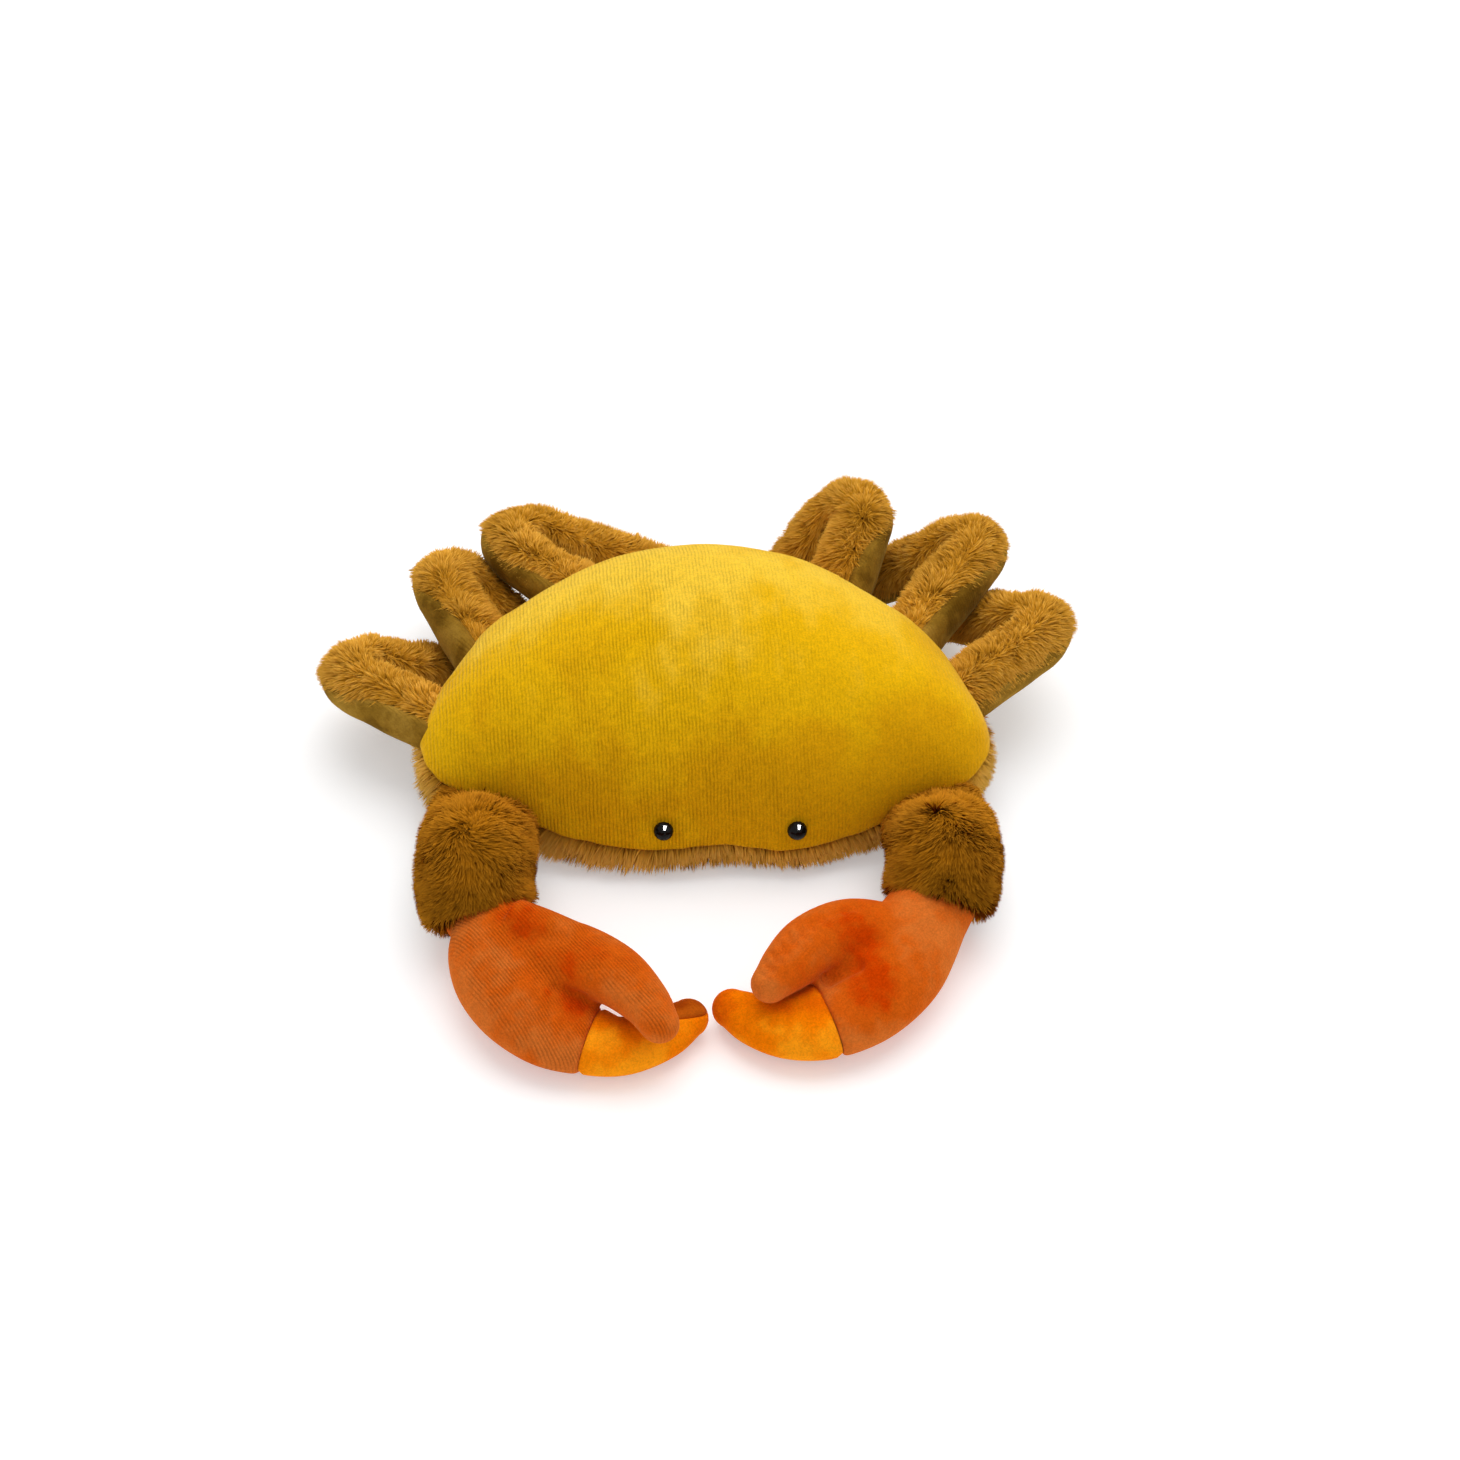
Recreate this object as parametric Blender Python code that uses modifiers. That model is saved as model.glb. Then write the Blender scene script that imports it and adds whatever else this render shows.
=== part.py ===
"""Plush crab lying flat: a velour shell over a faux-fur belly, six folded legs, two fur sleeves
with velour pincers, and two safety eyes. Units are metres, +Z is up, and the crab faces -Y.

The origin is on the floor, under the middle of the belly. Left and right are as seen from the
front. Every fabric panel is a solid with the thickness of its cloth and pile, and each stuffed
limb has its own filling inside the panels.
"""

import math

import bmesh
import bpy
import numpy as np
from mathutils import Matrix, Vector

# Cloth and sewing
CLEARANCE = 0.0003
PANEL_GAP = 0.0008
VELOUR_THICKNESS = 0.0022
FUR_THICKNESS = 0.006
# How far a cutter reaches past what it cuts
CUT_PAST = 0.001

# Body: the seam between the shell and the belly, seen from above, and the two heights
BODY_HALF_WIDTH = 0.111
BODY_FRONT = 0.066
BODY_BACK = 0.077
CORNER_FORWARD = 0.0235
SHELL_HEIGHT = 0.0755
SHELL_TOP_BACK = 0.003
SEAM_HEIGHT_FRONT = 0.013
SEAM_HEIGHT_CORNER = 0.027
SEAM_HEIGHT_BACK = 0.032
FACE_OFFSET = 0.008

# Eyes
EYE_DIAMETER = 0.0078
EYE_DOME_HEIGHT = 0.0036
EYE_SPACING = 0.052
EYE_ABOVE_SEAM = 0.009
EYES_MIDDLE = 0.0105
EYE_SEAT = 0.0008
EYE_RIM_SHARE = 0.93
EYE_RIM_DEPTH = 0.0003
EYE_HOLE_ABOVE = 0.010
EYE_HOLE_BELOW = 0.020
SHANK_DIAMETER = 0.003
SHANK_LENGTH = 0.009
WASHER_DIAMETER = 0.012
WASHER_THICKNESS = 0.0012
WASHER_GAP = 0.0016

# Legs
LEG_HALF_WIDTH = 0.0145
LEG_HALF_THICKNESS = 0.0125
LEG_BEND_RADIUS = 0.009
LEG_FOLD_GAP = 0.0016
FOOT_HALF_WIDTH = 0.0110
LEG_ROOT_DEPTH = 0.014
# How far the seam between fur and velour is turned down the outer side of a leg at its knee
KNEE_SEAM_DROP = math.radians(32)
FILLING_EASE = 0.0010

# Wrists, and the sleeves that they are sewn into
WRIST_RADIUS = 0.0157
WRIST_INSERT = 0.006
# How far the filling of a sleeve stays behind the pincer in its end
WRIST_FILLING_EASE = 0.008
SLEEVE_END_RADIUS = WRIST_RADIUS + 2 * CLEARANCE + FUR_THICKNESS

# Seams of the lower fingers: how far the top panel comes down in front, and how far the under panel
# comes up behind, at the root and at the tip
FINGER_SEAM_DROP = math.radians(45)
FINGER_SEAM_RISE = math.radians(15)
FINGER_TIP_RISE = {"left": math.radians(156), "right": math.radians(35)}

# How finely the round forms are divided
AROUND_BODY = 36
AROUND_LEG = 10
AROUND_CLAW = 12
EYE_STEPS = 16

COLOURS = {
    "mustard_velour": (0.62, 0.31, 0.01, 0.85),
    "brown_fur": (0.36, 0.15, 0.015, 0.95),
    "olive_velour": (0.23, 0.125, 0.015, 0.9),
    "orange_velour": (0.52, 0.09, 0.006, 0.85),
    "yellow_velour": (0.74, 0.16, 0.004, 0.85),
    "rust_velour": (0.38, 0.055, 0.003, 0.85),
    "black_plastic": (0.006, 0.005, 0.004, 0.12),
    "white_plastic": (0.8, 0.8, 0.78, 0.4),
    "polyester_filling": (0.85, 0.85, 0.83, 0.95),
}


def start_scene():
    """Clears the scene and returns the collections for the crab's parts and for the cutters."""
    for obj in list(bpy.data.objects):
        bpy.data.objects.remove(obj)
    parts = bpy.data.collections.new("plush_crab")
    cutters = bpy.data.collections.new("cutters")
    for collection in (parts, cutters):
        bpy.context.scene.collection.children.link(collection)
    return parts, cutters


PARTS, CUTTERS = start_scene()


def material(name):
    found = bpy.data.materials.get(name)
    if found:
        return found
    *colour, roughness = COLOURS[name]
    made = bpy.data.materials.new(name)
    made.use_nodes = True
    shader = made.node_tree.nodes["Principled BSDF"]
    shader.inputs["Base Color"].default_value = (*colour, 1)
    shader.inputs["Roughness"].default_value = roughness
    shader.inputs["Metallic"].default_value = 0
    return made


def add_object(name, mesh, material_name=None):
    """A part if it has a material, and otherwise a hidden cutter."""
    obj = bpy.data.objects.new(name, mesh)
    if material_name:
        PARTS.objects.link(obj)
        mesh.materials.append(material(material_name))
    else:
        CUTTERS.objects.link(obj)
        obj.hide_render = True
        obj.display_type = "WIRE"
    return obj


def loft(rings, name):
    """A closed mesh over rings of equally many points. A ring of one point is a pole."""
    bm = bmesh.new()
    rows = [[bm.verts.new(point) for point in ring] for ring in rings]
    for lower, upper in zip(rows, rows[1:]):
        count = max(len(lower), len(upper))
        for i in range(count):
            j = (i + 1) % count
            if len(lower) == 1:
                bm.faces.new((lower[0], upper[j], upper[i]))
            elif len(upper) == 1:
                bm.faces.new((lower[i], lower[j], upper[0]))
            else:
                bm.faces.new((lower[i], lower[j], upper[j], upper[i]))
    for row in (rows[0], rows[-1]):
        if len(row) > 1:
            bm.faces.new(row)
    bmesh.ops.recalc_face_normals(bm, faces=bm.faces)
    mesh = bpy.data.meshes.new(name)
    bm.to_mesh(mesh)
    bm.free()
    mesh.shade_smooth()
    mesh.set_sharp_from_angle(angle=math.radians(50))
    return mesh


def boolean(obj, other, operation):
    modifier = obj.modifiers.new(operation.lower(), "BOOLEAN")
    modifier.object = other
    modifier.operation = operation


def evaluated_mesh(obj, name):
    """A copy of the object's mesh with its modifiers applied."""
    bpy.context.view_layer.update()
    depsgraph = bpy.context.evaluated_depsgraph_get()
    mesh = bpy.data.meshes.new_from_object(obj.evaluated_get(depsgraph))
    mesh.name = name
    return mesh


def curve_point(controls, at, closed=False):
    """A point on the Catmull-Rom curve through rows of numbers. Whole values of at are the rows."""
    rows = np.asarray(controls, float)
    last = len(rows) if closed else len(rows) - 1
    at = at % last if closed else min(max(at, 0), last - 1e-9)
    k, t = int(at), at - int(at)
    if closed:
        a, b, c, d = (rows[(k + i) % len(rows)] for i in (-1, 0, 1, 2))
    else:
        b, c = rows[k], rows[k + 1]
        a = rows[k - 1] if k > 0 else 2 * b - c
        d = rows[k + 2] if k + 2 < len(rows) else 2 * c - b
    return 0.5 * (
        2 * b + (c - a) * t + (2 * a - 5 * b + 4 * c - d) * t**2 + (3 * b - a - 3 * c + d) * t**3
    )


# Body


def seam_controls():
    """The seam's points from the front middle round by the right. x is a share of the half width,
    and y a share of the reach to the front or to the back; z is the height of the seam."""
    front, corner, back = SEAM_HEIGHT_FRONT, SEAM_HEIGHT_CORNER, SEAM_HEIGHT_BACK
    right = [
        (0.25, -1.00, front),
        (0.47, -0.93, front + 0.002),
        (0.72, -0.77, (front + corner) / 2),
        (0.91, -0.61, corner - 0.0035),
        (1.00, -CORNER_FORWARD / BODY_FRONT, corner),
        (0.955, -0.03, corner + 0.002),
        (0.81, 0.36, back - 0.001),
        (0.595, 0.67, back),
        (0.34, 0.90, back),
    ]
    lip = (0.0, -0.975, front + 0.0015)
    tail = (0.0, 1.0, back)
    left = [(-x, y, z) for x, y, z in reversed(right)]
    points = []
    for x, y, z in [lip, *right, tail, *left]:
        face = max(0.0, 1 - abs(x) / 0.6) if y < 0 else 0.0
        reach = BODY_FRONT if y < 0 else BODY_BACK
        points.append((x * BODY_HALF_WIDTH + face * FACE_OFFSET, y * reach, z))
    return points


SEAM = seam_controls()


def seam_point(at):
    return Vector(curve_point(SEAM, at, closed=True))


# Rings of the shell from the seam to the top, as shares of the way out from the middle
SHELL_RINGS = (1.0, 0.97, 0.90, 0.79, 0.63, 0.43, 0.21)
SHELL_ROUNDNESS = 0.6
# Rings of the belly from the seam to the flat that it rests on, as shares of the way out and of the
# seam's height
BELLY_RINGS = ((1.0, 1.0), (1.005, 0.72), (0.995, 0.42), (0.95, 0.14), (0.85, 0.0), (0.45, 0.0))


def shell_point(seam, share, inset):
    """A point of the shell on the way from the middle to a point of its seam."""
    middle = Vector((0, SHELL_TOP_BACK, 0))
    out = (seam - middle).to_2d()
    way = share * (1 - inset / out.length)
    height = seam.z + (SHELL_HEIGHT - inset - seam.z) * (1 - share**2) ** SHELL_ROUNDNESS
    return Vector((middle.x + out.x * way, middle.y + out.y * way, height))


def belly_point(seam, share, height_share, inset):
    middle = Vector((0, SHELL_TOP_BACK, 0))
    out = (seam - middle).to_2d()
    way = share * (1 - inset / out.length)
    height = inset + (seam.z - inset) * height_share
    return Vector((middle.x + out.x * way, middle.y + out.y * way, height))


def around_seam():
    return [seam_point(len(SEAM) * i / AROUND_BODY) for i in range(AROUND_BODY)]


def shell_rings(inset, lift=0.0):
    rings = [
        [shell_point(s, share, inset) + Vector((0, 0, lift)) for s in around_seam()]
        for share in SHELL_RINGS
    ]
    return rings + [[Vector((0, SHELL_TOP_BACK, SHELL_HEIGHT - inset + lift))]]


def belly_rings(inset, drop=0.0):
    rings = [
        [belly_point(s, share, height, inset) - Vector((0, 0, drop * height)) for s in around_seam()]
        for share, height in BELLY_RINGS
    ]
    return rings + [[Vector((0, SHELL_TOP_BACK, inset))]]


def body_envelope(grow):
    """The whole body, larger all round by grow, for cutting the limbs that are sewn to it."""
    top = shell_rings(-grow)
    bottom = belly_rings(-grow)
    return loft([*reversed(top), *bottom[1:]], "body_envelope")


def make_body():
    half_gap = CLEARANCE / 2
    outer, inner = shell_rings(0.0, half_gap), shell_rings(VELOUR_THICKNESS, half_gap)
    shell = add_object("shell_panel", loft([*reversed(outer), *inner], "shell_panel"), "mustard_velour")
    outer, inner = belly_rings(0.0, half_gap), belly_rings(FUR_THICKNESS, half_gap)
    add_object("belly_panel", loft([*reversed(outer), *inner], "belly_panel"), "brown_fur")
    top = shell_rings(FUR_THICKNESS + CLEARANCE)
    bottom = belly_rings(FUR_THICKNESS + CLEARANCE)
    filling = add_object(
        "body_stuffing", loft([*reversed(top), *bottom[1:]], "body_stuffing"), "polyester_filling"
    )
    return shell, filling


# Eyes


def turned(name, profile, material_name=None):
    """A turned solid about Z from its outer profile, top to bottom."""
    mesh = bpy.data.meshes.new(name)
    bm = bmesh.new()
    verts = [bm.verts.new((r, 0, z)) for r, z in profile]
    for a, b in zip(verts, verts[1:]):
        bm.edges.new((a, b))
    bm.to_mesh(mesh)
    bm.free()
    obj = add_object(name, mesh, material_name)
    screw = obj.modifiers.new("turn", "SCREW")
    screw.steps = EYE_STEPS
    screw.render_steps = EYE_STEPS
    screw.use_merge_vertices = True
    screw.merge_threshold = 0.00002
    return obj


def eye_place(x):
    """The matrix of an eye at this x: on the shell above the front seam, with +Z out of the cloth."""
    ats = np.linspace(-4, 4, 401)
    at = min(ats, key=lambda a: abs(seam_point(a).x - x))
    seam = seam_point(at)
    shares = np.linspace(1.0, 0.7, 301)
    share = next(s for s in shares if shell_point(seam, s, 0).z - seam.z > EYE_ABOVE_SEAM)
    here = shell_point(seam, share, 0)
    up = shell_point(seam, share - 0.04, 0) - shell_point(seam, min(share + 0.01, 1.0), 0)
    along = seam_point(at + 0.5) - seam_point(at - 0.5)
    out = along.cross(up).normalized()
    if out.y > 0:
        out.negate()
    turn = out.to_track_quat("Z", "Y").to_matrix().to_4x4()
    return Matrix.Translation(here) @ turn


def dome_profile():
    steps = 6
    radius = EYE_DIAMETER / 2
    arc = [
        (radius * math.sin(math.pi / 2 * i / steps), EYE_DOME_HEIGHT * math.cos(math.pi / 2 * i / steps))
        for i in range(steps + 1)
    ]
    shank = SHANK_DIAMETER / 2
    under = [(radius * EYE_RIM_SHARE, -EYE_RIM_DEPTH), (shank, -EYE_RIM_DEPTH)]
    return [*arc, *under, (shank, -SHANK_LENGTH), (0, -SHANK_LENGTH)]


def make_eye(side, x, shell, filling):
    place = eye_place(x)
    behind = VELOUR_THICKNESS + WASHER_GAP
    eye = turned(f"eye_{side}", dome_profile(), "black_plastic")
    eye.matrix_world = place @ Matrix.Translation((0, 0, EYE_SEAT))
    hole, rim = SHANK_DIAMETER / 2 + CLEARANCE, WASHER_DIAMETER / 2
    ring = [(hole, 0), (rim, 0), (rim, -WASHER_THICKNESS), (hole, -WASHER_THICKNESS), (hole, 0)]
    washer = turned(f"eye_washer_{side}", ring, "white_plastic")
    washer.matrix_world = place @ Matrix.Translation((0, 0, -behind))
    above, below = EYE_HOLE_ABOVE, -EYE_HOLE_BELOW
    through = turned(f"shank_hole_{side}", [(0, above), (hole, above), (hole, below), (0, below)])
    through.matrix_world = place
    boolean(shell, through, "DIFFERENCE")
    pocket_end = max(behind + WASHER_THICKNESS, SHANK_LENGTH) + 2 * CLEARANCE
    wide = rim + 2 * CLEARANCE
    pocket_profile = [(0, above), (wide, above), (wide, -pocket_end), (0, -pocket_end)]
    pocket = turned(f"washer_pocket_{side}", pocket_profile)
    pocket.matrix_world = place
    boolean(filling, pocket, "DIFFERENCE")


# Limbs: a limb is a list of stations, each with a centre, a side and an up direction, a half width
# to either side and a half thickness


class Station:
    def __init__(self, centre, tangent, side, up, widths, half_thickness):
        self.centre, self.tangent, self.side, self.up = centre, tangent, side, up
        self.widths, self.half_thickness = widths, half_thickness

    def at(self, turn, inset):
        """A point on the section at an angle from the side direction, inside its edge by inset."""
        width = self.widths[0] if math.cos(turn) > 0 else self.widths[1]
        across = max(width - inset, LEAST_HALF_SIZE) * math.cos(turn)
        above = max(self.half_thickness - inset, LEAST_HALF_SIZE) * math.sin(turn)
        return self.centre + self.side * across + self.up * above

    def toward(self, turn):
        return self.side * math.cos(turn) + self.up * math.sin(turn)

    def moved(self, forward, share=1.0):
        centre = self.centre + self.tangent * forward
        widths = [w * share for w in self.widths]
        return Station(centre, self.tangent, self.side, self.up, widths, self.half_thickness * share)


TIP_ANGLES = (30, 56, 76)
LEAST_HALF_SIZE = 0.0004
LEAST_SOLID = 0.001


def limb_stations(rows, up):
    """Stations from rows of a centre and two half sizes, with a rounded tip after the last one."""
    stations = []
    for k, (centre, half_width, half_thickness) in enumerate(rows):
        before, after = rows[max(k - 1, 0)][0], rows[min(k + 1, len(rows) - 1)][0]
        tangent = (after - before).normalized()
        side = tangent.cross(up).normalized()
        frame = (centre, tangent, side, side.cross(tangent))
        stations.append(Station(*frame, [half_width, half_width], half_thickness))
    end = stations[-1]
    for angle in TIP_ANGLES:
        turn = math.radians(angle)
        stations.append(end.moved(end.widths[0] * math.sin(turn), math.cos(turn)))
    return stations


def limb_mesh(name, stations, inset, count):
    """The limb as one closed form, smaller all round by inset."""
    kept = [s for s in stations if min(*s.widths, s.half_thickness) > inset + LEAST_SOLID]
    turns = [2 * math.pi * i / count for i in range(count)]
    return loft([[s.at(a, inset) for a in turns] for s in kept], name)


def skin_panel(name, stations, ends, thickness, steps, material_name):
    """One panel of a two-panel limb, round each section from its first angle to its last."""
    rings = []
    for s, (first, last) in zip(stations, ends):
        arc = [first + (last - first) * i / steps for i in range(steps + 1)]
        apart = s.toward((first + last) / 2) * (PANEL_GAP / 2)
        outside = [s.at(a, 0.0) + apart for a in arc]
        inside = [s.at(a, thickness) + apart for a in reversed(arc)]
        rings.append(outside + inside)
    return add_object(name, loft(rings, name), material_name)


def other_ends(ends):
    """The angles that are left for the other panel."""
    return [(last, first + 2 * math.pi) for first, last in ends]


# Legs


def leg_line(base, tip, foot):
    """The centres of a folded leg, the middle of its bend, and its plane's up direction.

    The leg runs out from base, turns back round a bend that reaches as far as tip, and comes home
    to foot.
    """
    out = (tip - base).normalized()
    bend = tip - out * (LEG_BEND_RADIUS + LEG_HALF_WIDTH)
    home = foot - bend
    back = (home - out * home.dot(out)).normalized()
    up = out.cross(back).normalized()
    if up.z < 0:
        up.negate()
    first = -math.pi + math.acos(LEG_BEND_RADIUS / (bend - base).length)
    bearing = math.atan2(home.dot(back), home.dot(out))
    last = bearing - math.acos(LEG_BEND_RADIUS / home.length)
    steps = 5
    turns = [first + (last - first) * k / steps for k in range(steps + 1)]
    arc = [bend + (out * math.cos(a) + back * math.sin(a)) * LEG_BEND_RADIUS for a in turns]
    start = base + (base - arc[0]).normalized() * LEG_ROOT_DEPTH
    front = [start.lerp(arc[0], t) for t in (0, 0.4, 0.75)]
    home_run = [arc[-1].lerp(foot, t) for t in (0.3, 0.65, 1)]
    middle = (first + last) / 2
    fold = out * math.cos(middle) + back * math.sin(middle)
    return [*front, *arc, *home_run], bend, fold, up


def close_fold(stations, bend, fold, up):
    """Narrows each section on the inside of the bend, so that the two halves of the leg only meet."""
    across = fold.cross(up)
    for s in stations:
        to_axis = (bend - s.centre).dot(across)
        slope = s.side.dot(across)
        inner = 0 if to_axis * slope > 0 else 1
        reach = abs(to_axis / slope) - LEG_FOLD_GAP / 2 if abs(slope) > 0.01 else s.widths[inner]
        s.widths[inner] = min(s.widths[inner], reach)


def leg_stations(at, tip, foot):
    base = seam_point(at)
    level_foot = Vector((base.x + foot[0], base.y + foot[1], FOOT_HALF_WIDTH))
    centres, bend, fold, up = leg_line(base, base + Vector(tip), level_foot)
    taper = [LEG_HALF_WIDTH + (FOOT_HALF_WIDTH - LEG_HALF_WIDTH) * t for t in (0.3, 0.65, 1)]
    widths = [LEG_HALF_WIDTH] * (len(centres) - len(taper)) + taper
    flatness = LEG_HALF_THICKNESS / LEG_HALF_WIDTH
    stations = limb_stations([(c, w, w * flatness) for c, w in zip(centres, widths)], up)
    close_fold(stations, bend, fold, up)
    return stations


def fur_ends(side, root_rise, stations):
    """The angles that a leg's fur spans at each station. Its outer seam is low at the knee and turned
    up by root_rise degrees at the root."""
    away = [(s.centre - stations[0].centre).length for s in stations]
    at_root = math.radians(root_rise)
    ends = []
    for distance in away:
        rise = at_root - (at_root + KNEE_SEAM_DROP) * (distance / max(away)) ** 3
        ends.append((rise, math.pi) if side == "right" else (0.0, math.pi - rise))
    return ends


def make_leg(name, ends, stations, cutters):
    fur_sizes = (FUR_THICKNESS, AROUND_LEG // 2)
    velour_sizes = (VELOUR_THICKNESS, AROUND_LEG // 2 + 1)
    stuffing = limb_mesh(f"{name}_stuffing", stations, FUR_THICKNESS + FILLING_EASE, AROUND_LEG)
    pieces = [
        skin_panel(f"{name}_fur", stations, ends, *fur_sizes, "brown_fur"),
        skin_panel(f"{name}_velour", stations, other_ends(ends), *velour_sizes, "olive_velour"),
        add_object(f"{name}_stuffing", stuffing, "polyester_filling"),
    ]
    for piece in pieces:
        for cutter in cutters:
            boolean(piece, cutter, "DIFFERENCE")


# Each side's legs from the back, where each lies over the next: name, place on the seam, from there
# its outermost point and its foot, and how far its fur's seam is turned up at the root, in degrees
LEGS = {
    "right": [
        ("back", 8.45, (0.0035, 0.0505, 0.012), (-0.0275, 0.019), 36),
        ("middle", 7.3, (0.0270, 0.0595, 0.006), (-0.022, 0.048), 36),
        ("front", 6.25, (0.0365, 0.0425, 0.008), (-0.010, 0.064), 6),
    ],
    "left": [
        ("back", -8.45, (-0.0285, 0.0395, 0.006), (0.049, 0.029), 36),
        ("middle", -7.0, (-0.0135, 0.050, 0.002), (0.019, 0.023), 38),
        ("front", -5.7, (-0.0370, 0.0375, 0.0005), (0.017, 0.043), 32),
    ],
}


def make_legs(side, body_cutter):
    cutters = [body_cutter]
    for place, at, tip, foot, root_rise in LEGS[side]:
        name = f"leg_{side}_{place}"
        stations = leg_stations(at, tip, foot)
        make_leg(name, fur_ends(side, root_rise, stations), stations, cutters)
        room = limb_mesh(f"{name}_room", stations, -2 * CLEARANCE, 2 * AROUND_LEG)
        cutters = [body_cutter, add_object(f"{name}_room", room)]


# Arms and pincers


def smooth_rows(rows, count):
    """Rows of x, y, z and two half sizes, made into evenly many smooth ones from end to end."""
    last = len(rows) - 1
    made = [curve_point(rows, last * k / (count - 1)) for k in range(count)]
    return [(Vector(row[:3]), row[3], row[4]) for row in made]


def offset_rows(origin, rows):
    return [(origin.x + x, origin.y + y, origin.z + z, w, t) for x, y, z, w, t in rows]


UP = Vector((0, 0, 1))


def make_sleeve(side, rows, cutter):
    """The fur sleeve and its stuffing. Returns the sleeve and the station of its open end."""
    smooth = smooth_rows(rows, 9)
    stations = limb_stations(smooth, UP)[: len(smooth)]
    end = stations[-1]
    sleeve = add_object(
        f"arm_{side}_sleeve", limb_mesh("sleeve", stations, 0.0, AROUND_CLAW), "brown_fur"
    )
    past = [stations[0].moved(-CUT_PAST), *stations[1:-1], end.moved(CUT_PAST)]
    bore = add_object(f"sleeve_bore_{side}", limb_mesh("bore", past, FUR_THICKNESS, AROUND_CLAW))
    boolean(sleeve, bore, "DIFFERENCE")
    room = WRIST_INSERT + WRIST_FILLING_EASE
    behind_wrist = [s for s in stations if (end.centre - s.centre).dot(end.tangent) > room]
    stuffing = add_object(
        f"arm_{side}_stuffing",
        limb_mesh("arm_stuffing", behind_wrist, FUR_THICKNESS + FILLING_EASE, AROUND_CLAW),
        "polyester_filling",
    )
    for piece in (sleeve, stuffing):
        boolean(piece, cutter, "DIFFERENCE")
    return sleeve, end


def finger_ends(side, count):
    """The angles that a lower finger's top panel spans at each station. Its inner seam climbs to the
    tip."""
    ends = []
    for k in range(count):
        share = k / (count - 1)
        climb = share**2 * (3 - 2 * share)
        rise = FINGER_SEAM_RISE + (FINGER_TIP_RISE[side] - FINGER_SEAM_RISE) * climb
        left_ends = (-FINGER_SEAM_DROP, math.pi - rise)
        right_ends = (rise, math.pi + FINGER_SEAM_DROP)
        ends.append(left_ends if side == "left" else right_ends)
    return ends


def make_claw(side, sleeve, wrist, palm_rows, finger_rows, seam_share):
    """A pincer in the end of a sleeve: one cover over the palm and the upper finger, two panels on
    the lower finger, and one filling for all of it."""
    behind = [wrist.centre - wrist.tangent * WRIST_INSERT * share for share in (1, 0.5)]
    neck = [(centre, WRIST_RADIUS, WRIST_RADIUS) for centre in behind]
    palm = smooth_rows(offset_rows(wrist.centre, palm_rows), 15)
    stations = limb_stations(neck + palm, UP)
    seam = round(len(palm) * seam_share) + len(neck)
    upper = limb_stations(smooth_rows(offset_rows(wrist.centre, finger_rows), 9), UP)

    def form(name, lower, inset, count):
        obj = add_object(name, limb_mesh(name, lower, inset, count))
        branch = add_object(f"{name}_branch", limb_mesh(f"{name}_branch", upper, inset, count))
        boolean(obj, branch, "UNION")
        return obj

    outer = form(f"claw_{side}_outer", stations[: seam + 1], 0.0, AROUND_CLAW)
    room = form(f"claw_{side}_room", stations, -CLEARANCE, AROUND_CLAW)
    boolean(sleeve, room, "DIFFERENCE")
    past = [stations[0].moved(-CUT_PAST), *stations[1:seam], stations[seam].moved(CUT_PAST)]
    hollow = form(f"claw_{side}_hollow", past, VELOUR_THICKNESS, AROUND_CLAW)
    filling = form(f"claw_{side}_filling", stations[1:], VELOUR_THICKNESS + FILLING_EASE, AROUND_CLAW)
    cover_name, stuffing_name = f"claw_{side}_cover", f"claw_{side}_stuffing"
    cover = add_object(cover_name, evaluated_mesh(outer, cover_name), "orange_velour")
    boolean(cover, hollow, "DIFFERENCE")
    add_object(stuffing_name, evaluated_mesh(filling, stuffing_name), "polyester_filling")
    finger = [stations[seam].moved(CLEARANCE), *stations[seam + 1 :]]
    ends, sizes = finger_ends(side, len(finger)), (VELOUR_THICKNESS, AROUND_CLAW // 2 + 1)
    skin_panel(f"claw_{side}_finger_top", finger, ends, *sizes, "yellow_velour")
    skin_panel(f"claw_{side}_finger_under", finger, other_ends(ends), *sizes, "rust_velour")


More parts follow.
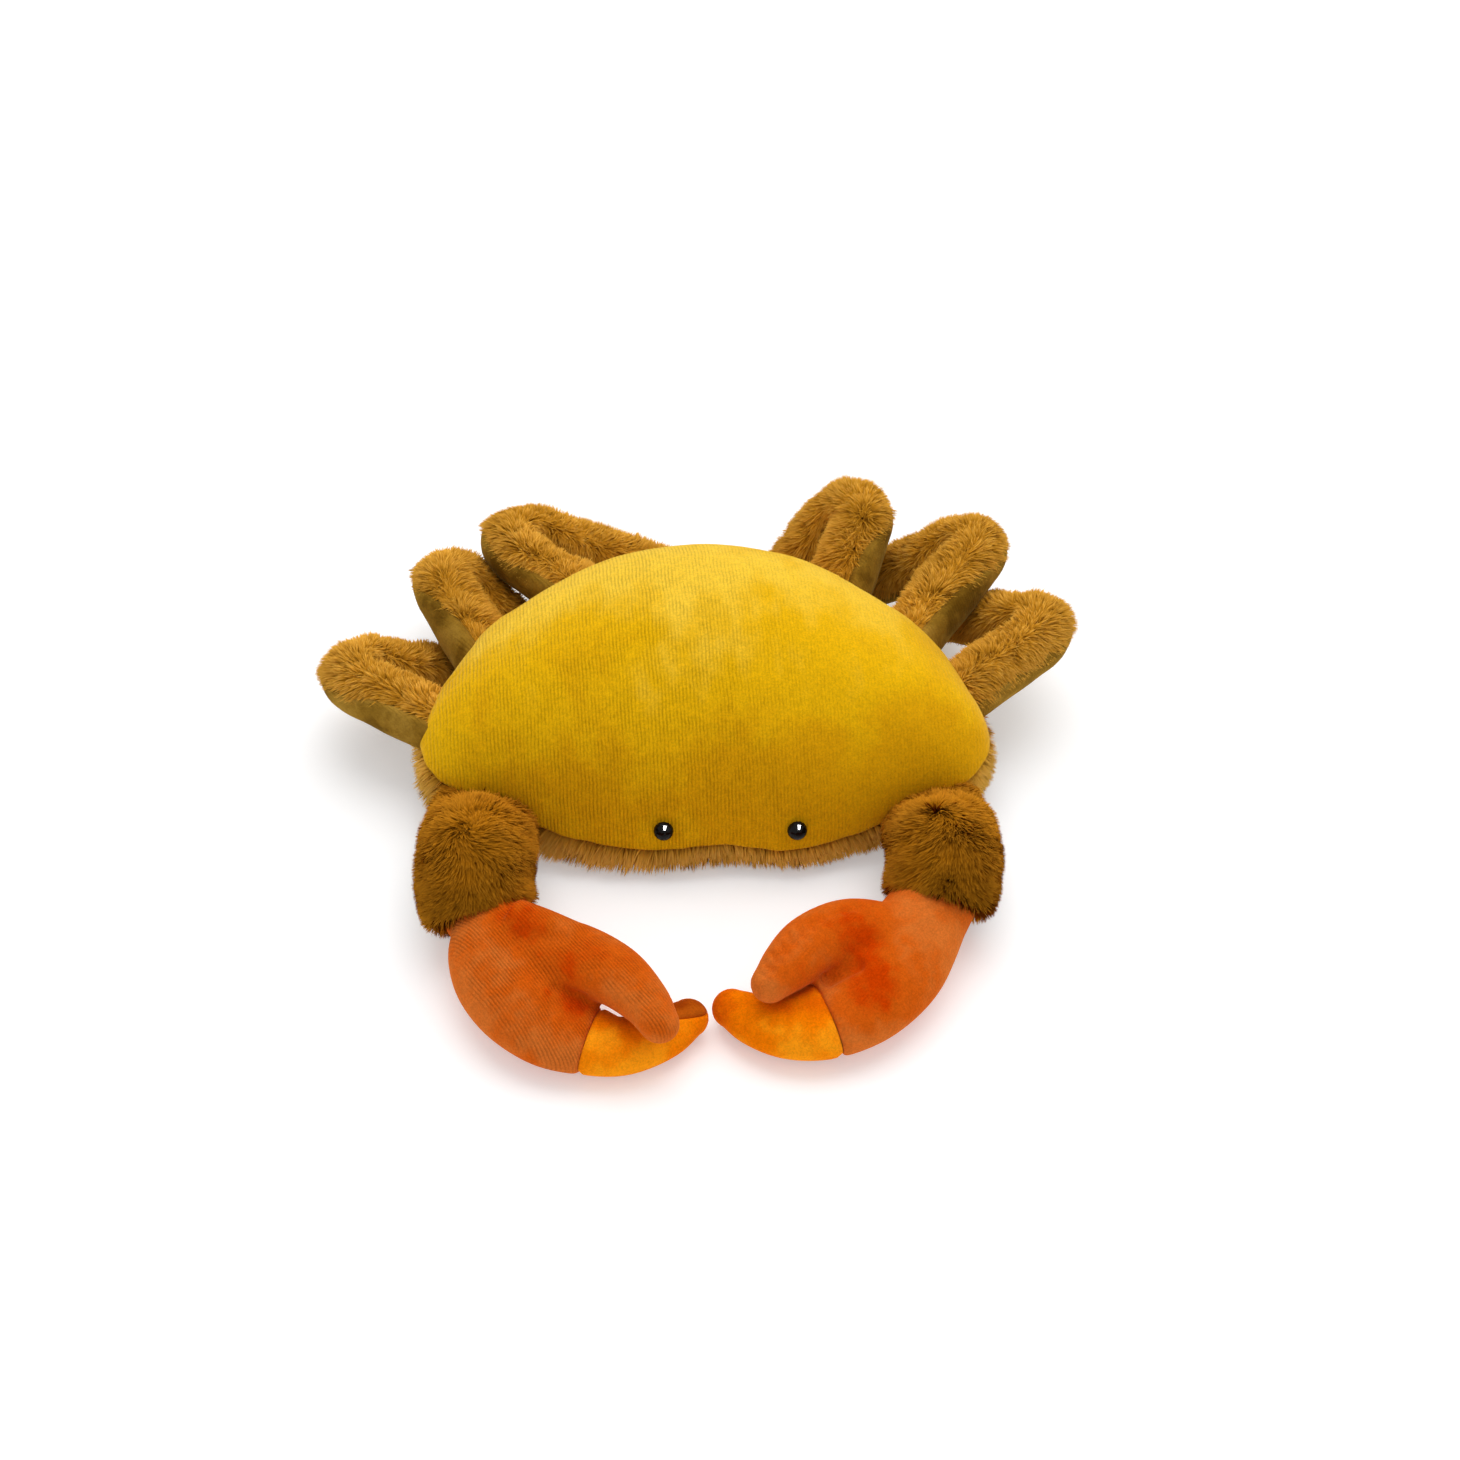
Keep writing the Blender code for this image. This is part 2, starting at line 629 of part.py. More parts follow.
# Each arm: its side, its place on the seam, and rows of x, y, z, half width and half thickness: of
# the sleeve from that place, and of the palm with its lower finger and of the upper finger from the
# sleeve's end
END = SLEEVE_END_RADIUS
ARMS = [
    (
        "left",
        -3.35,
        ((0.004, 0.010, -0.004, 0.020, 0.009), (0.003, -0.006, -0.002, 0.0215, 0.012),
         (0.0025, -0.019, 0.001, 0.0228, 0.018), (0.002, -0.036, 0.004, 0.0230, 0.0226),
         (0.0020, -0.0468, 0.0023, 0.0225, 0.0225), (0.0045, -0.0543, -0.0024, END, END)),
        ((0.0063, -0.0080, -0.0020, 0.0163, 0.0158), (0.0085, -0.0202, -0.0025, 0.0200, 0.0160),
         (0.0135, -0.0312, -0.0035, 0.0220, 0.0150), (0.0215, -0.0432, -0.0045, 0.0215, 0.0140),
         (0.0305, -0.0522, -0.0070, 0.0185, 0.0112), (0.0415, -0.0572, -0.0085, 0.0150, 0.0096),
         (0.0545, -0.0592, -0.0095, 0.0122, 0.0086), (0.0685, -0.0532, -0.0100, 0.0105, 0.0080),
         (0.0785, -0.0452, -0.0105, 0.0075, 0.0072)),
        ((0.0095, -0.0212, -0.0030, 0.0100, 0.0100), (0.0205, -0.0252, -0.0005, 0.0160, 0.0135),
         (0.0335, -0.0287, 0.0040, 0.0155, 0.0125),
         (0.0505, -0.0392, 0.0075, 0.0125, 0.0105), (0.0625, -0.0537, 0.0095, 0.0095, 0.0085),
         (0.0685, -0.0652, 0.0100, 0.0075, 0.0070)),
        0.62,
    ),
    (
        "right",
        3.25,
        ((0.002, 0.010, -0.004, 0.019, 0.009), (0.003, -0.005, -0.002, 0.021, 0.012),
         (0.0045, -0.017, 0.001, 0.0225, 0.0175), (0.0055, -0.029, 0.004, 0.0222, 0.0220),
         (0.0050, -0.0395, 0.0026, 0.0222, 0.0222), (0.0030, -0.0472, -0.0020, END, END)),
        ((-0.0051, -0.0083, -0.0020, 0.0163, 0.0158), (-0.0107, -0.0194, -0.0025, 0.0180, 0.0158),
         (-0.0170, -0.0318, -0.0035, 0.0190, 0.0150), (-0.0240, -0.0418, -0.0045, 0.0185, 0.0140),
         (-0.0330, -0.0498, -0.0060, 0.0178, 0.0120), (-0.0450, -0.0553, -0.0075, 0.0165, 0.0104),
         (-0.0570, -0.0568, -0.0085, 0.0138, 0.0094), (-0.0690, -0.0527, -0.0095, 0.0110, 0.0084),
         (-0.0780, -0.0470, -0.0102, 0.0075, 0.0074)),
        ((-0.0102, -0.0210, -0.0030, 0.0078, 0.0100), (-0.0222, -0.0215, 0.0000, 0.0133, 0.0135),
         (-0.0352, -0.0220, 0.0035, 0.0133, 0.0125),
         (-0.0482, -0.0305, 0.0065, 0.0123, 0.0115), (-0.0572, -0.0415, 0.0080, 0.0103, 0.0100),
         (-0.0642, -0.0510, 0.0085, 0.0073, 0.0075)),
        0.60,
    ),
]


def main():
    cutter = add_object("body_cutter", body_envelope(CLEARANCE))
    shell, filling = make_body()
    make_eye("left", EYES_MIDDLE - EYE_SPACING / 2, shell, filling)
    make_eye("right", EYES_MIDDLE + EYE_SPACING / 2, shell, filling)
    for side in LEGS:
        make_legs(side, cutter)
    for side, at, sleeve_rows, palm_rows, finger_rows, seam_share in ARMS:
        sleeve, end = make_sleeve(side, offset_rows(seam_point(at), sleeve_rows), cutter)
        make_claw(side, sleeve, end, palm_rows, finger_rows, seam_share)


main()
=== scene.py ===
"""The looks of the plush crab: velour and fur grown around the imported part, on a white floor.

Units are metres and +Z is up. The soft pieces follow the part's own seams and sections, drawn
finer. Fur is a dark skin with thin blades of mesh on it, combed, clumped and drooping.
"""

import math

import bpy
import numpy as np
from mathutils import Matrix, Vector
from mathutils.kdtree import KDTree


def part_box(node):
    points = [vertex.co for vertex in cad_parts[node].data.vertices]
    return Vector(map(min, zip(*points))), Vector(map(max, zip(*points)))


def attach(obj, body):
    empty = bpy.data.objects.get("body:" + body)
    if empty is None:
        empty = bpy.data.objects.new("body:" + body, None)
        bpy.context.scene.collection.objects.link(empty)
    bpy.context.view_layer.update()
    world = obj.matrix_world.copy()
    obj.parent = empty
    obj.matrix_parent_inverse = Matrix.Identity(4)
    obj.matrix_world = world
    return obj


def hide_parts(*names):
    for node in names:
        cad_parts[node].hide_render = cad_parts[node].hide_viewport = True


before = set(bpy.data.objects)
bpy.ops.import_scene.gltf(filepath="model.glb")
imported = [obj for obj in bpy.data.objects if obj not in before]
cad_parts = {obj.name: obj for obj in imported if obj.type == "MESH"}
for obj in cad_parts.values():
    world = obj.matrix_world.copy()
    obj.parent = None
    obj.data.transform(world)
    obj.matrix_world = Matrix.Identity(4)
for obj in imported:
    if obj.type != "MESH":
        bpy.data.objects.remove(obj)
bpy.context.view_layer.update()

# The part's sizes
FLOOR_GAP = 0.0003
BODY_HALF_WIDTH = 0.111
BODY_FRONT = 0.066
BODY_BACK = 0.077
CORNER_FORWARD = 0.0235
SHELL_HEIGHT = 0.0755
SHELL_TOP_BACK = 0.003
SEAM_HEIGHT_FRONT = 0.013
SEAM_HEIGHT_CORNER = 0.027
SEAM_HEIGHT_BACK = 0.032
FACE_OFFSET = 0.008
SHELL_ROUNDNESS = 0.6
BELLY_RINGS = ((1.0, 1.0), (1.005, 0.72), (0.995, 0.42), (0.95, 0.14), (0.85, 0.0), (0.45, 0.0))
LEG_HALF_WIDTH = 0.0145
LEG_HALF_THICKNESS = 0.0125
LEG_BEND_RADIUS = 0.009
LEG_FOLD_GAP = 0.0016
FOOT_HALF_WIDTH = 0.0110
LEG_ROOT_DEPTH = 0.014
KNEE_SEAM_DROP = math.radians(32)
FINGER_SEAM_DROP = math.radians(45)
FINGER_SEAM_RISE = math.radians(15)
FINGER_TIP_RISE = {"left": math.radians(156), "right": math.radians(35)}
WRIST_RADIUS = 0.0157
WRIST_INSERT = 0.006
SLEEVE_END_RADIUS = 0.0223

# How deep the skin under the fur lies, how many blades grow on a piece, and how they gather
BELLY_PILE = 0.0032
LEG_PILE = 0.0042
SLEEVE_PILE = 0.0052
BELLY_BLADES = 43000
LEG_BLADES = 21000
SLEEVE_BLADES = 44000
CLUMP_BLADES = 16
TUFT_REACH = 0.0042

UP = np.array((0.0, 0.0, 1.0))
# The photo's line of sight
SIGHT = (0.0, math.sqrt(0.5), -math.sqrt(0.5))


def unit(v):
    return v / np.maximum(np.linalg.norm(v, axis=-1, keepdims=True), 1e-12)


def dot(a, b):
    return (a * b).sum(-1)


# Noise


def lattice(x, y, z, seed):
    """A repeatable number from 0 to 1 for each whole place."""
    n = (x * 374761393 + y * 668265263 + z * 1103515245 + seed * 974634777) & 0xFFFFFFFF
    n = ((n ^ (n >> 13)) * 1274126177) & 0xFFFFFFFF
    return ((n ^ (n >> 16)) & 0xFFFF) / 65535.0


def noise(points, size, seed):
    """Smooth noise from -1 to 1, with features of about this size."""
    p = np.asarray(points, float) / size + 1000.0
    cell = np.floor(p).astype(np.int64)
    f = p - cell
    f = f * f * (3 - 2 * f)
    total = np.zeros(p.shape[:-1])
    for dx in (0, 1):
        for dy in (0, 1):
            for dz in (0, 1):
                share = np.ones(p.shape[:-1])
                for axis, d in enumerate((dx, dy, dz)):
                    share = share * (f[..., axis] if d else 1 - f[..., axis])
                total += share * lattice(
                    cell[..., 0] + dx, cell[..., 1] + dy, cell[..., 2] + dz, seed
                )
    return total * 2 - 1


def noise_vectors(points, size, seed):
    return np.stack([noise(points, size, seed + k) for k in range(3)], -1)


# Curves and grids


def curve(controls, at, closed=False):
    """Points on the Catmull-Rom curve through rows of numbers. Whole values of at are the rows."""
    rows = np.asarray(controls, float)
    count = len(rows)
    if closed:
        at = np.mod(at, count)
        k = np.floor(at).astype(int)
        a, b, c, d = (rows[(k + i) % count] for i in (-1, 0, 1, 2))
    else:
        at = np.clip(at, 0, count - 1 - 1e-9)
        k = np.floor(at).astype(int)
        b, c = rows[k], rows[k + 1]
        a = np.where((k > 0)[:, None], rows[np.maximum(k - 1, 0)], 2 * b - c)
        d = np.where((k + 2 < count)[:, None], rows[np.minimum(k + 2, count - 1)], 2 * c - b)
    t = (at - k)[:, None]
    return 0.5 * (
        2 * b + (c - a) * t + (2 * a - 5 * b + 4 * c - d) * t**2 + (3 * b - a - 3 * c + d) * t**3
    )


def finer(controls, count):
    """This many points along the open curve through rows of numbers, from end to end."""
    return curve(controls, np.linspace(0, len(controls) - 1, count))


def grid_faces(rows, columns, closed):
    """Four-cornered faces of a grid of points, row by row."""
    index = np.arange(rows * columns).reshape(rows, columns)
    if closed:
        index = np.concatenate([index, index[:, :1]], 1)
    corners = [index[:-1, :-1], index[:-1, 1:], index[1:, 1:], index[1:, :-1]]
    return np.stack(corners, -1).reshape(-1, 4)


def corner_uvs(place):
    """A grid's texture places, given to the corners of its faces."""
    corners = [place[:-1, :-1], place[:-1, 1:], place[1:, 1:], place[1:, :-1]]
    return np.stack(corners, -2).reshape(-1, 2)


def grid_normals(points, outward, closed):
    """Unit normals of a grid surface on the side that outward points to."""
    along = np.gradient(points, axis=0)
    if closed:
        around = np.roll(points, -1, 1) - np.roll(points, 1, 1)
    else:
        around = np.gradient(points, axis=1)
    normals = unit(np.cross(along, around))
    return normals * np.where(dot(normals, outward) < 0, -1, 1)[..., None]


def scatter(rng, fields, weight, count, closed):
    """Random places on a grid surface: each field's value there. Larger cells get more places."""
    if closed:
        fields = {k: np.concatenate([f, f[:, :1]], 1) for k, f in fields.items()}
        weight = np.concatenate([weight, weight[:, :1]], 1)
    points = fields["point"]
    area = np.linalg.norm(
        np.cross(points[1:, :-1] - points[:-1, :-1], points[:-1, 1:] - points[:-1, :-1]), axis=-1
    )
    area = area * (weight[1:, 1:] + weight[:-1, :-1])
    cells = rng.choice(area.size, count, p=area.ravel() / area.sum())
    row, column = np.divmod(cells, area.shape[1])
    s, t = rng.random(count), rng.random(count)
    found = {}
    for name, f in fields.items():
        ss, tt = (s[:, None], t[:, None]) if f.ndim == 3 else (s, t)
        near = f[row, column] * (1 - tt) + f[row, column + 1] * tt
        far = f[row + 1, column] * (1 - tt) + f[row + 1, column + 1] * tt
        found[name] = near * (1 - ss) + far * ss
    return found


# Objects


def new_object(name, data):
    obj = bpy.data.objects.new(name, data)
    bpy.context.scene.collection.objects.link(obj)
    return obj


def add_piece(name, verts, faces, uvs, look, nodes, normals=None):
    """A piece of the crab that stands for some of the part's nodes."""
    mesh = bpy.data.meshes.new(name)
    loops = np.concatenate([f.ravel() for f in faces])
    sizes = np.concatenate([np.full(len(f), f.shape[1]) for f in faces])
    mesh.vertices.add(len(verts))
    mesh.vertices.foreach_set("co", np.asarray(verts, np.float32).ravel())
    mesh.loops.add(len(loops))
    mesh.loops.foreach_set("vertex_index", loops.astype(np.int32))
    mesh.polygons.add(len(sizes))
    mesh.polygons.foreach_set("loop_start", (np.cumsum(sizes) - sizes).astype(np.int32))
    mesh.update(calc_edges=True)
    mesh.validate()
    layer = mesh.uv_layers.new(name="OFBake")
    layer.data.foreach_set("uv", np.asarray(uvs, np.float32).ravel())
    mesh.shade_smooth()
    if normals is not None:
        mesh.normals_split_custom_set_from_vertices(normals.tolist())
    place_piece(mesh, look, nodes)


def place_piece(mesh, look, nodes):
    obj = new_object(mesh.name, mesh)
    obj.data.materials.append(look)
    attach(obj, "root")
    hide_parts(*nodes)


def add_strip(name, grid, uv_width, look):
    """An open grid of points as the piece for the node of this name, kept above the floor."""
    rows, columns = grid.shape[:2]
    grid[..., 2] = np.maximum(grid[..., 2], FLOOR_GAP)
    u, v = np.meshgrid(np.linspace(0, uv_width, columns), np.linspace(0, 1, rows))
    uvs = corner_uvs(np.stack([u, v], -1))
    faces = [grid_faces(rows, columns, False)]
    add_piece(f"soft_{name}", grid.reshape(-1, 3), faces, uvs, look, [name])


# Materials


class Look:
    """A material's node tree, built up call by call."""

    def __init__(self, name, roughness=0.9):
        self.material = bpy.data.materials.new(name)
        self.material.use_nodes = True
        self.tree = self.material.node_tree
        self.shader = self.tree.nodes["Principled BSDF"]
        self.set("Roughness", roughness)
        self.where = self.node("ShaderNodeTexCoord").outputs["Object"]

    def set(self, socket, value):
        self.put(self.shader, socket, value)

    def put(self, node, socket, value):
        target = node.inputs[socket]
        if isinstance(value, bpy.types.NodeSocket):
            self.tree.links.new(value, target)
        elif isinstance(value, tuple) and target.type == "RGBA":
            target.default_value = (*value[:3], 1)
        else:
            target.default_value = value

    def node(self, kind, inputs=(), **settings):
        made = self.tree.nodes.new(kind)
        for key, value in settings.items():
            setattr(made, key, value)
        for socket, value in dict(inputs).items():
            self.put(made, socket, value)
        return made

    def math(self, operation, a, b=0.0, clamp=False):
        made = self.node("ShaderNodeMath", {0: a, 1: b}, operation=operation, use_clamp=clamp)
        return made.outputs[0]

    def vector(self, operation, a, b=(0, 0, 0)):
        made = self.node("ShaderNodeVectorMath", {0: a, 1: b}, operation=operation)
        value = operation in ("DOT_PRODUCT", "LENGTH")
        return made.outputs["Value" if value else "Vector"]

    def scaled(self, colour, share):
        made = self.node("ShaderNodeVectorMath", {0: colour, 3: share}, operation="SCALE")
        return made.outputs["Vector"]

    def noise(self, size, detail=2.0, roughness=0.5, where=None):
        inputs = {
            "Vector": where or self.where,
            "Scale": 1 / size,
            "Detail": detail,
            "Roughness": roughness,
        }
        return self.node("ShaderNodeTexNoise", inputs).outputs["Fac"]

    def along(self, direction, origin=(0, 0, 0)):
        """How far each place is from the origin in this direction."""
        return self.vector("DOT_PRODUCT", self.vector("SUBTRACT", self.where, origin), direction)

    def span(self, value, low, high, to_low=0.0, to_high=1.0):
        made = self.node(
            "ShaderNodeMapRange",
            {"Value": value, "From Min": low, "From Max": high, "To Min": to_low, "To Max": to_high},
            interpolation_type="SMOOTHSTEP",
        )
        return made.outputs["Result"]

    def mix(self, factor, a, b):
        made = self.node("ShaderNodeMix", {0: factor, 6: a, 7: b}, data_type="RGBA")
        return made.outputs[2]

    def bump(self, height, strength, distance):
        inputs = {"Height": height, "Strength": strength, "Distance": distance}
        made = self.node("ShaderNodeBump", inputs)
        self.set("Normal", made.outputs["Normal"])


def srgb(r, g, b):
    """The linear colour of a screen colour from 0 to 255."""
    shares = [c / 255 for c in (r, g, b)]
    return tuple(c / 12.92 if c <= 0.04045 else ((c + 0.055) / 1.055) ** 2.4 for c in shares)


def velour(name, light, middle, dark, ribs, rib_gap, rib_depth, rib_mask, shade, sheen_colour):
    """Velour: a colour from light to dark by shade, ribs across a direction, pile and sheen."""
    look = Look(name, 0.85)
    tone = shade(look)
    colour = look.mix(look.span(tone, 0.0, 0.5), light, middle)
    colour = look.mix(look.span(tone, 0.5, 1.0), colour, dark)
    drift = look.math("MULTIPLY", look.noise(0.02, 1.0), 7.0)
    wiggle = look.math("MULTIPLY", look.noise(0.004, 1.0), 2.6)
    phase = look.math("MULTIPLY", look.along(ribs), 2 * math.pi / rib_gap)
    phase = look.math("ADD", phase, look.math("ADD", drift, wiggle))
    wave = look.math("MULTIPLY", look.math("ADD", look.math("SINE", phase), 1.0), 0.5)
    groove = look.math("POWER", wave, 2.2)
    patchy = look.span(look.noise(0.006), 0.3, 0.65, 0.35, 1.0)
    normal = look.node("ShaderNodeNewGeometry").outputs["Normal"]
    across = tuple(unit(np.array(ribs, float)))
    steep = look.math("ABSOLUTE", look.vector("DOT_PRODUCT", normal, across))
    patchy = look.math("MULTIPLY", patchy, look.span(steep, 0.65, 0.95, 1.0, 0.0))
    groove = look.math("MULTIPLY", groove, look.math("MULTIPLY", rib_mask(look), patchy))
    fine = look.noise(0.0008, 2.0, 0.7)
    tuft = look.noise(0.0025, 2.0, 0.6)
    dull = look.math("SUBTRACT", 1.0, look.math("MULTIPLY", groove, rib_depth))
    bright = look.span(fine, 0.3, 0.7, -0.12, 0.12)
    bright = look.math("ADD", bright, look.span(tuft, 0.3, 0.7, -0.05, 0.05))
    bright = look.math("MULTIPLY", dull, look.math("ADD", 1.0, bright))
    look.set("Base Color", look.scaled(colour, bright))
    look.set("Sheen Weight", 0.38)
    look.set("Sheen Roughness", 0.35)
    look.set("Sheen Tint", sheen_colour)
    look.set("Specular IOR Level", 0.0)
    pile = look.math("ADD", look.math("MULTIPLY", fine, 0.5), look.math("MULTIPLY", tuft, 0.6))
    look.bump(look.math("SUBTRACT", pile, look.math("MULTIPLY", groove, 0.9)), 0.5, 0.0007)
    return look.material


def fur(name, root, middle, tip, pale_tip):
    """Fur: dark roots and light tips. The map's u is a strand's tone and its v the way up it."""
    look = Look(name, 0.85)
    place = look.node("ShaderNodeUVMap", uv_map="OFBake").outputs[0]
    split = look.node("ShaderNodeSeparateXYZ", {0: place})
    tone, way = split.outputs[0], split.outputs[1]
    ends = look.mix(tone, tip, pale_tip)
    colour = look.mix(look.span(way, 0.05, 0.45), root, middle)
    colour = look.mix(look.span(way, 0.35, 0.95), colour, ends)
    # The tone scales the colour; on the sleeves it holds painted light and shade
    shade = look.span(tone, 0.0, 1.0, 0.72, 1.12)
    look.set("Base Color", look.scaled(colour, shade))
    look.set("Specular IOR Level", 0.0)
    look.set("Sheen Weight", 0.1)
    look.set("Sheen Tint", pale_tip)
    return look.material


# Fur


def grow(rng, found, length, width, lift, droop, curl, pull, tone, tuft=None):
    """Blades of fur at scattered places: points, faces, corner uvs and normals.

    found has each blade's point, normal and comb direction. lift is how upright the blades stand,
    droop how far their ends hang, curl how much the clumps sway, and pull how tight the clumps are.
    tuft is a point that the blades nearest to it are combed to, and how much.
    """
    root, normal, comb = found["point"], unit(found["normal"]), found["comb"]
    count = len(root)
    sway = noise_vectors(root, 0.007, 11) * curl + noise_vectors(root, 0.0025, 23) * curl * 0.5
    jitter = rng.normal(0, 0.16, (count, 3))
    first = unit(normal * lift + comb * (1 - lift) + sway + jitter)
    sunk = np.minimum(dot(first, normal) - 0.12, 0)
    first = unit(first - normal * sunk[:, None])
    second = unit(first + comb * 0.45 - UP * droop + sway * 0.6)
    sunk = np.minimum(dot(second, normal) + 0.05, 0)
    second = unit(second - normal * sunk[:, None])
    middle = root + first * (length * 0.5)[:, None]
    tip = middle + second * (length * 0.5)[:, None]
    leaders = rng.choice(count, count // CLUMP_BLADES, replace=False)
    tree = KDTree(len(leaders))
    for k, leader in enumerate(leaders):
        tree.insert(root[leader], k)
    tree.balance()
    own = leaders[[tree.find(place)[1] for place in root]]
    apart = root - root[own]
    drawn = pull * rng.uniform(0.5, 1.0, count)[:, None]
    middle = middle + (middle[own] + apart * 0.8 - middle) * drawn * 0.5
    tip = tip + (tip[own] + apart * 0.3 - tip) * drawn
    if tuft is not None:
        way = tuft[0] - root
        away = np.linalg.norm(way, axis=1)
        near = (np.exp(-(((away - away.min()) / TUFT_REACH) ** 2)) * tuft[1])[:, None]
        end = root + way * rng.uniform(0.55, 0.95, count)[:, None]
        tip = tip + (end - tip) * near
        middle = middle + ((root + end) / 2 + normal * 0.0012 - middle) * near
    middle[:, 2] = np.maximum(middle[:, 2], FLOOR_GAP)
    tip[:, 2] = np.maximum(tip[:, 2], FLOOR_GAP)
    run = unit(tip - root)
    side = unit(np.cross(run, normal))
    roll = rng.uniform(-0.8, 0.8, count)[:, None]
    side = side * np.cos(roll) + np.cross(run, side) * np.sin(roll)
    half = (width / 2)[:, None]
    edge = side * half
    points = np.stack([root - edge, root + edge, middle - edge, middle + edge, tip], 1)
    points[..., 2] = np.maximum(points[..., 2], FLOOR_GAP / 2)
    face = unit(np.cross(side, run))
    shading = unit(normal * 0.75 + face * 0.25 + run * 0.2)
    normals = np.repeat(shading[:, None], 5, 1)
    start = np.arange(count)[:, None] * 5
    quads = start + np.array([0, 1, 3, 2])
    tips = start + np.array([2, 3, 4])
    u = np.clip(tone, 0.03, 0.97)[:, None]
    nudge = 0.008
    quad_u = np.concatenate([u - nudge, u + nudge, u + nudge, u - nudge], 1)
    quad_v = np.broadcast_to([0.06, 0.06, 0.5, 0.5], quad_u.shape)
    tip_u = np.concatenate([u - nudge, u + nudge, u], 1)
    tip_v = np.broadcast_to([0.5, 0.5, 0.97], tip_u.shape)
    uvs = [np.stack(pair, -1).reshape(-1, 2) for pair in ((quad_u, quad_v), (tip_u, tip_v))]
    return points.reshape(-1, 3), [quads, tips], uvs, normals.reshape(-1, 3)


def furry(name, skin, closed, blades, look, nodes):
    """A fur piece: its skin, a grid of points, and the blades on it."""
    rows, columns = skin.shape[:2]
    points, faces, uvs, normals = blades
    base = grid_faces(rows, columns, closed)
    place = skin.reshape(-1, 3)
    tone = 0.4 + 0.3 * noise(place[base].mean(1), 0.01, 5)
    corner_u = tone[:, None] + np.array([-0.008, 0.008, 0.008, -0.008])
    corner_v = np.broadcast_to([0.22, 0.22, 0.3, 0.3], corner_u.shape)
    base_uvs = np.stack([corner_u, corner_v], -1).reshape(-1, 2)
    verts = np.concatenate([place, points])
    faces = [base, *[f + len(place) for f in faces]]
    skin_normals = grid_normals(skin, skin - skin.mean((0, 1)), closed).reshape(-1, 3)
    add_piece(
        name,
        verts,
        faces,
        np.concatenate([base_uvs, *uvs]),
        look,
        nodes,
        np.concatenate([skin_normals, normals]),
    )


# Body


def seam_controls():
    """The seam's points from the front middle round by the right."""
    front, corner, back = SEAM_HEIGHT_FRONT, SEAM_HEIGHT_CORNER, SEAM_HEIGHT_BACK
    right = [
        (0.25, -1.00, front),
        (0.47, -0.93, front + 0.002),
        (0.72, -0.77, (front + corner) / 2),
        (0.91, -0.61, corner - 0.0035),
        (1.00, -CORNER_FORWARD / BODY_FRONT, corner),
        (0.955, -0.03, corner + 0.002),
        (0.81, 0.36, back - 0.001),
        (0.595, 0.67, back),
        (0.34, 0.90, back),
    ]
    left = [(-x, y, z) for x, y, z in reversed(right)]
    points = []
    for x, y, z in [(0.0, -0.975, front + 0.0015), *right, (0.0, 1.0, back), *left]:
        face = max(0.0, 1 - abs(x) / 0.6) if y < 0 else 0.0
        reach = BODY_FRONT if y < 0 else BODY_BACK
        points.append((x * BODY_HALF_WIDTH + face * FACE_OFFSET, y * reach, z))
    return points


SEAM = seam_controls()
BODY_MIDDLE = np.array((0.0, SHELL_TOP_BACK, 0.0))


def seam_points(count):
    return curve(SEAM, np.arange(count) * len(SEAM) / count, closed=True)


def inside_body(points, margin=0.0):
    """Whether each point is inside the shell and belly, or nearer to them than margin."""
    seam = seam_points(720)
    out = seam[:, :2] - BODY_MIDDLE[:2]
    bearing = np.arctan2(out[:, 1], out[:, 0])
    order = np.argsort(bearing)
    away = points[:, :2] - BODY_MIDDLE[:2]
    angle = np.arctan2(away[:, 1], away[:, 0])
    reach = np.interp(angle, bearing[order], np.linalg.norm(out, axis=1)[order], period=2 * math.pi)
    height = np.interp(angle, bearing[order], seam[order, 2], period=2 * math.pi)
    share = np.linalg.norm(away, axis=1) / (reach + margin)
    top = height + (SHELL_HEIGHT + margin - height) * np.clip(1 - share**2, 0, 1) ** SHELL_ROUNDNESS
    return (share < 1) & (points[:, 2] < top)


def shell_grid(around, rows):
    """The shell from its rolled lip under the seam up to its top."""
    seam = seam_points(around)
    out = seam - BODY_MIDDLE
    out[:, 2] = 0
    reach = np.linalg.norm(out, axis=1)
    outward = out / reach[:, None]
    made = []
    lip = 0.0016
    for inward in (0.008, 0.005):
        made.append(seam - outward * inward - UP * lip * 0.6)
    for angle in np.radians([140, 115, 90, 65, 40, 20]):
        made.append(seam - outward * lip * (1 - math.cos(angle)) - UP * lip * math.sin(angle))
    for slope in np.linspace(0, math.pi / 2, rows):
        share = math.cos(slope)
        rise = math.sin(slope) ** (2 * SHELL_ROUNDNESS)
        flat = BODY_MIDDLE + out * share
        flat[:, 2] = seam[:, 2] + (SHELL_HEIGHT - seam[:, 2]) * rise
        made.append(flat)
    return np.array(made)


# Folds that the legs pull into the shell's edge: both ends, width and depth
SHELL_CREASES = (
    ((0.097, 0.020), (0.080, 0.038), 0.0018, 0.0022),
    ((-0.092, 0.026), (-0.083, 0.031), 0.0018, 0.0018),
    ((-0.108, -0.004), (-0.097, -0.001), 0.002, 0.0012),
    ((0.064, 0.062), (0.056, 0.050), 0.002, 0.0012),
)


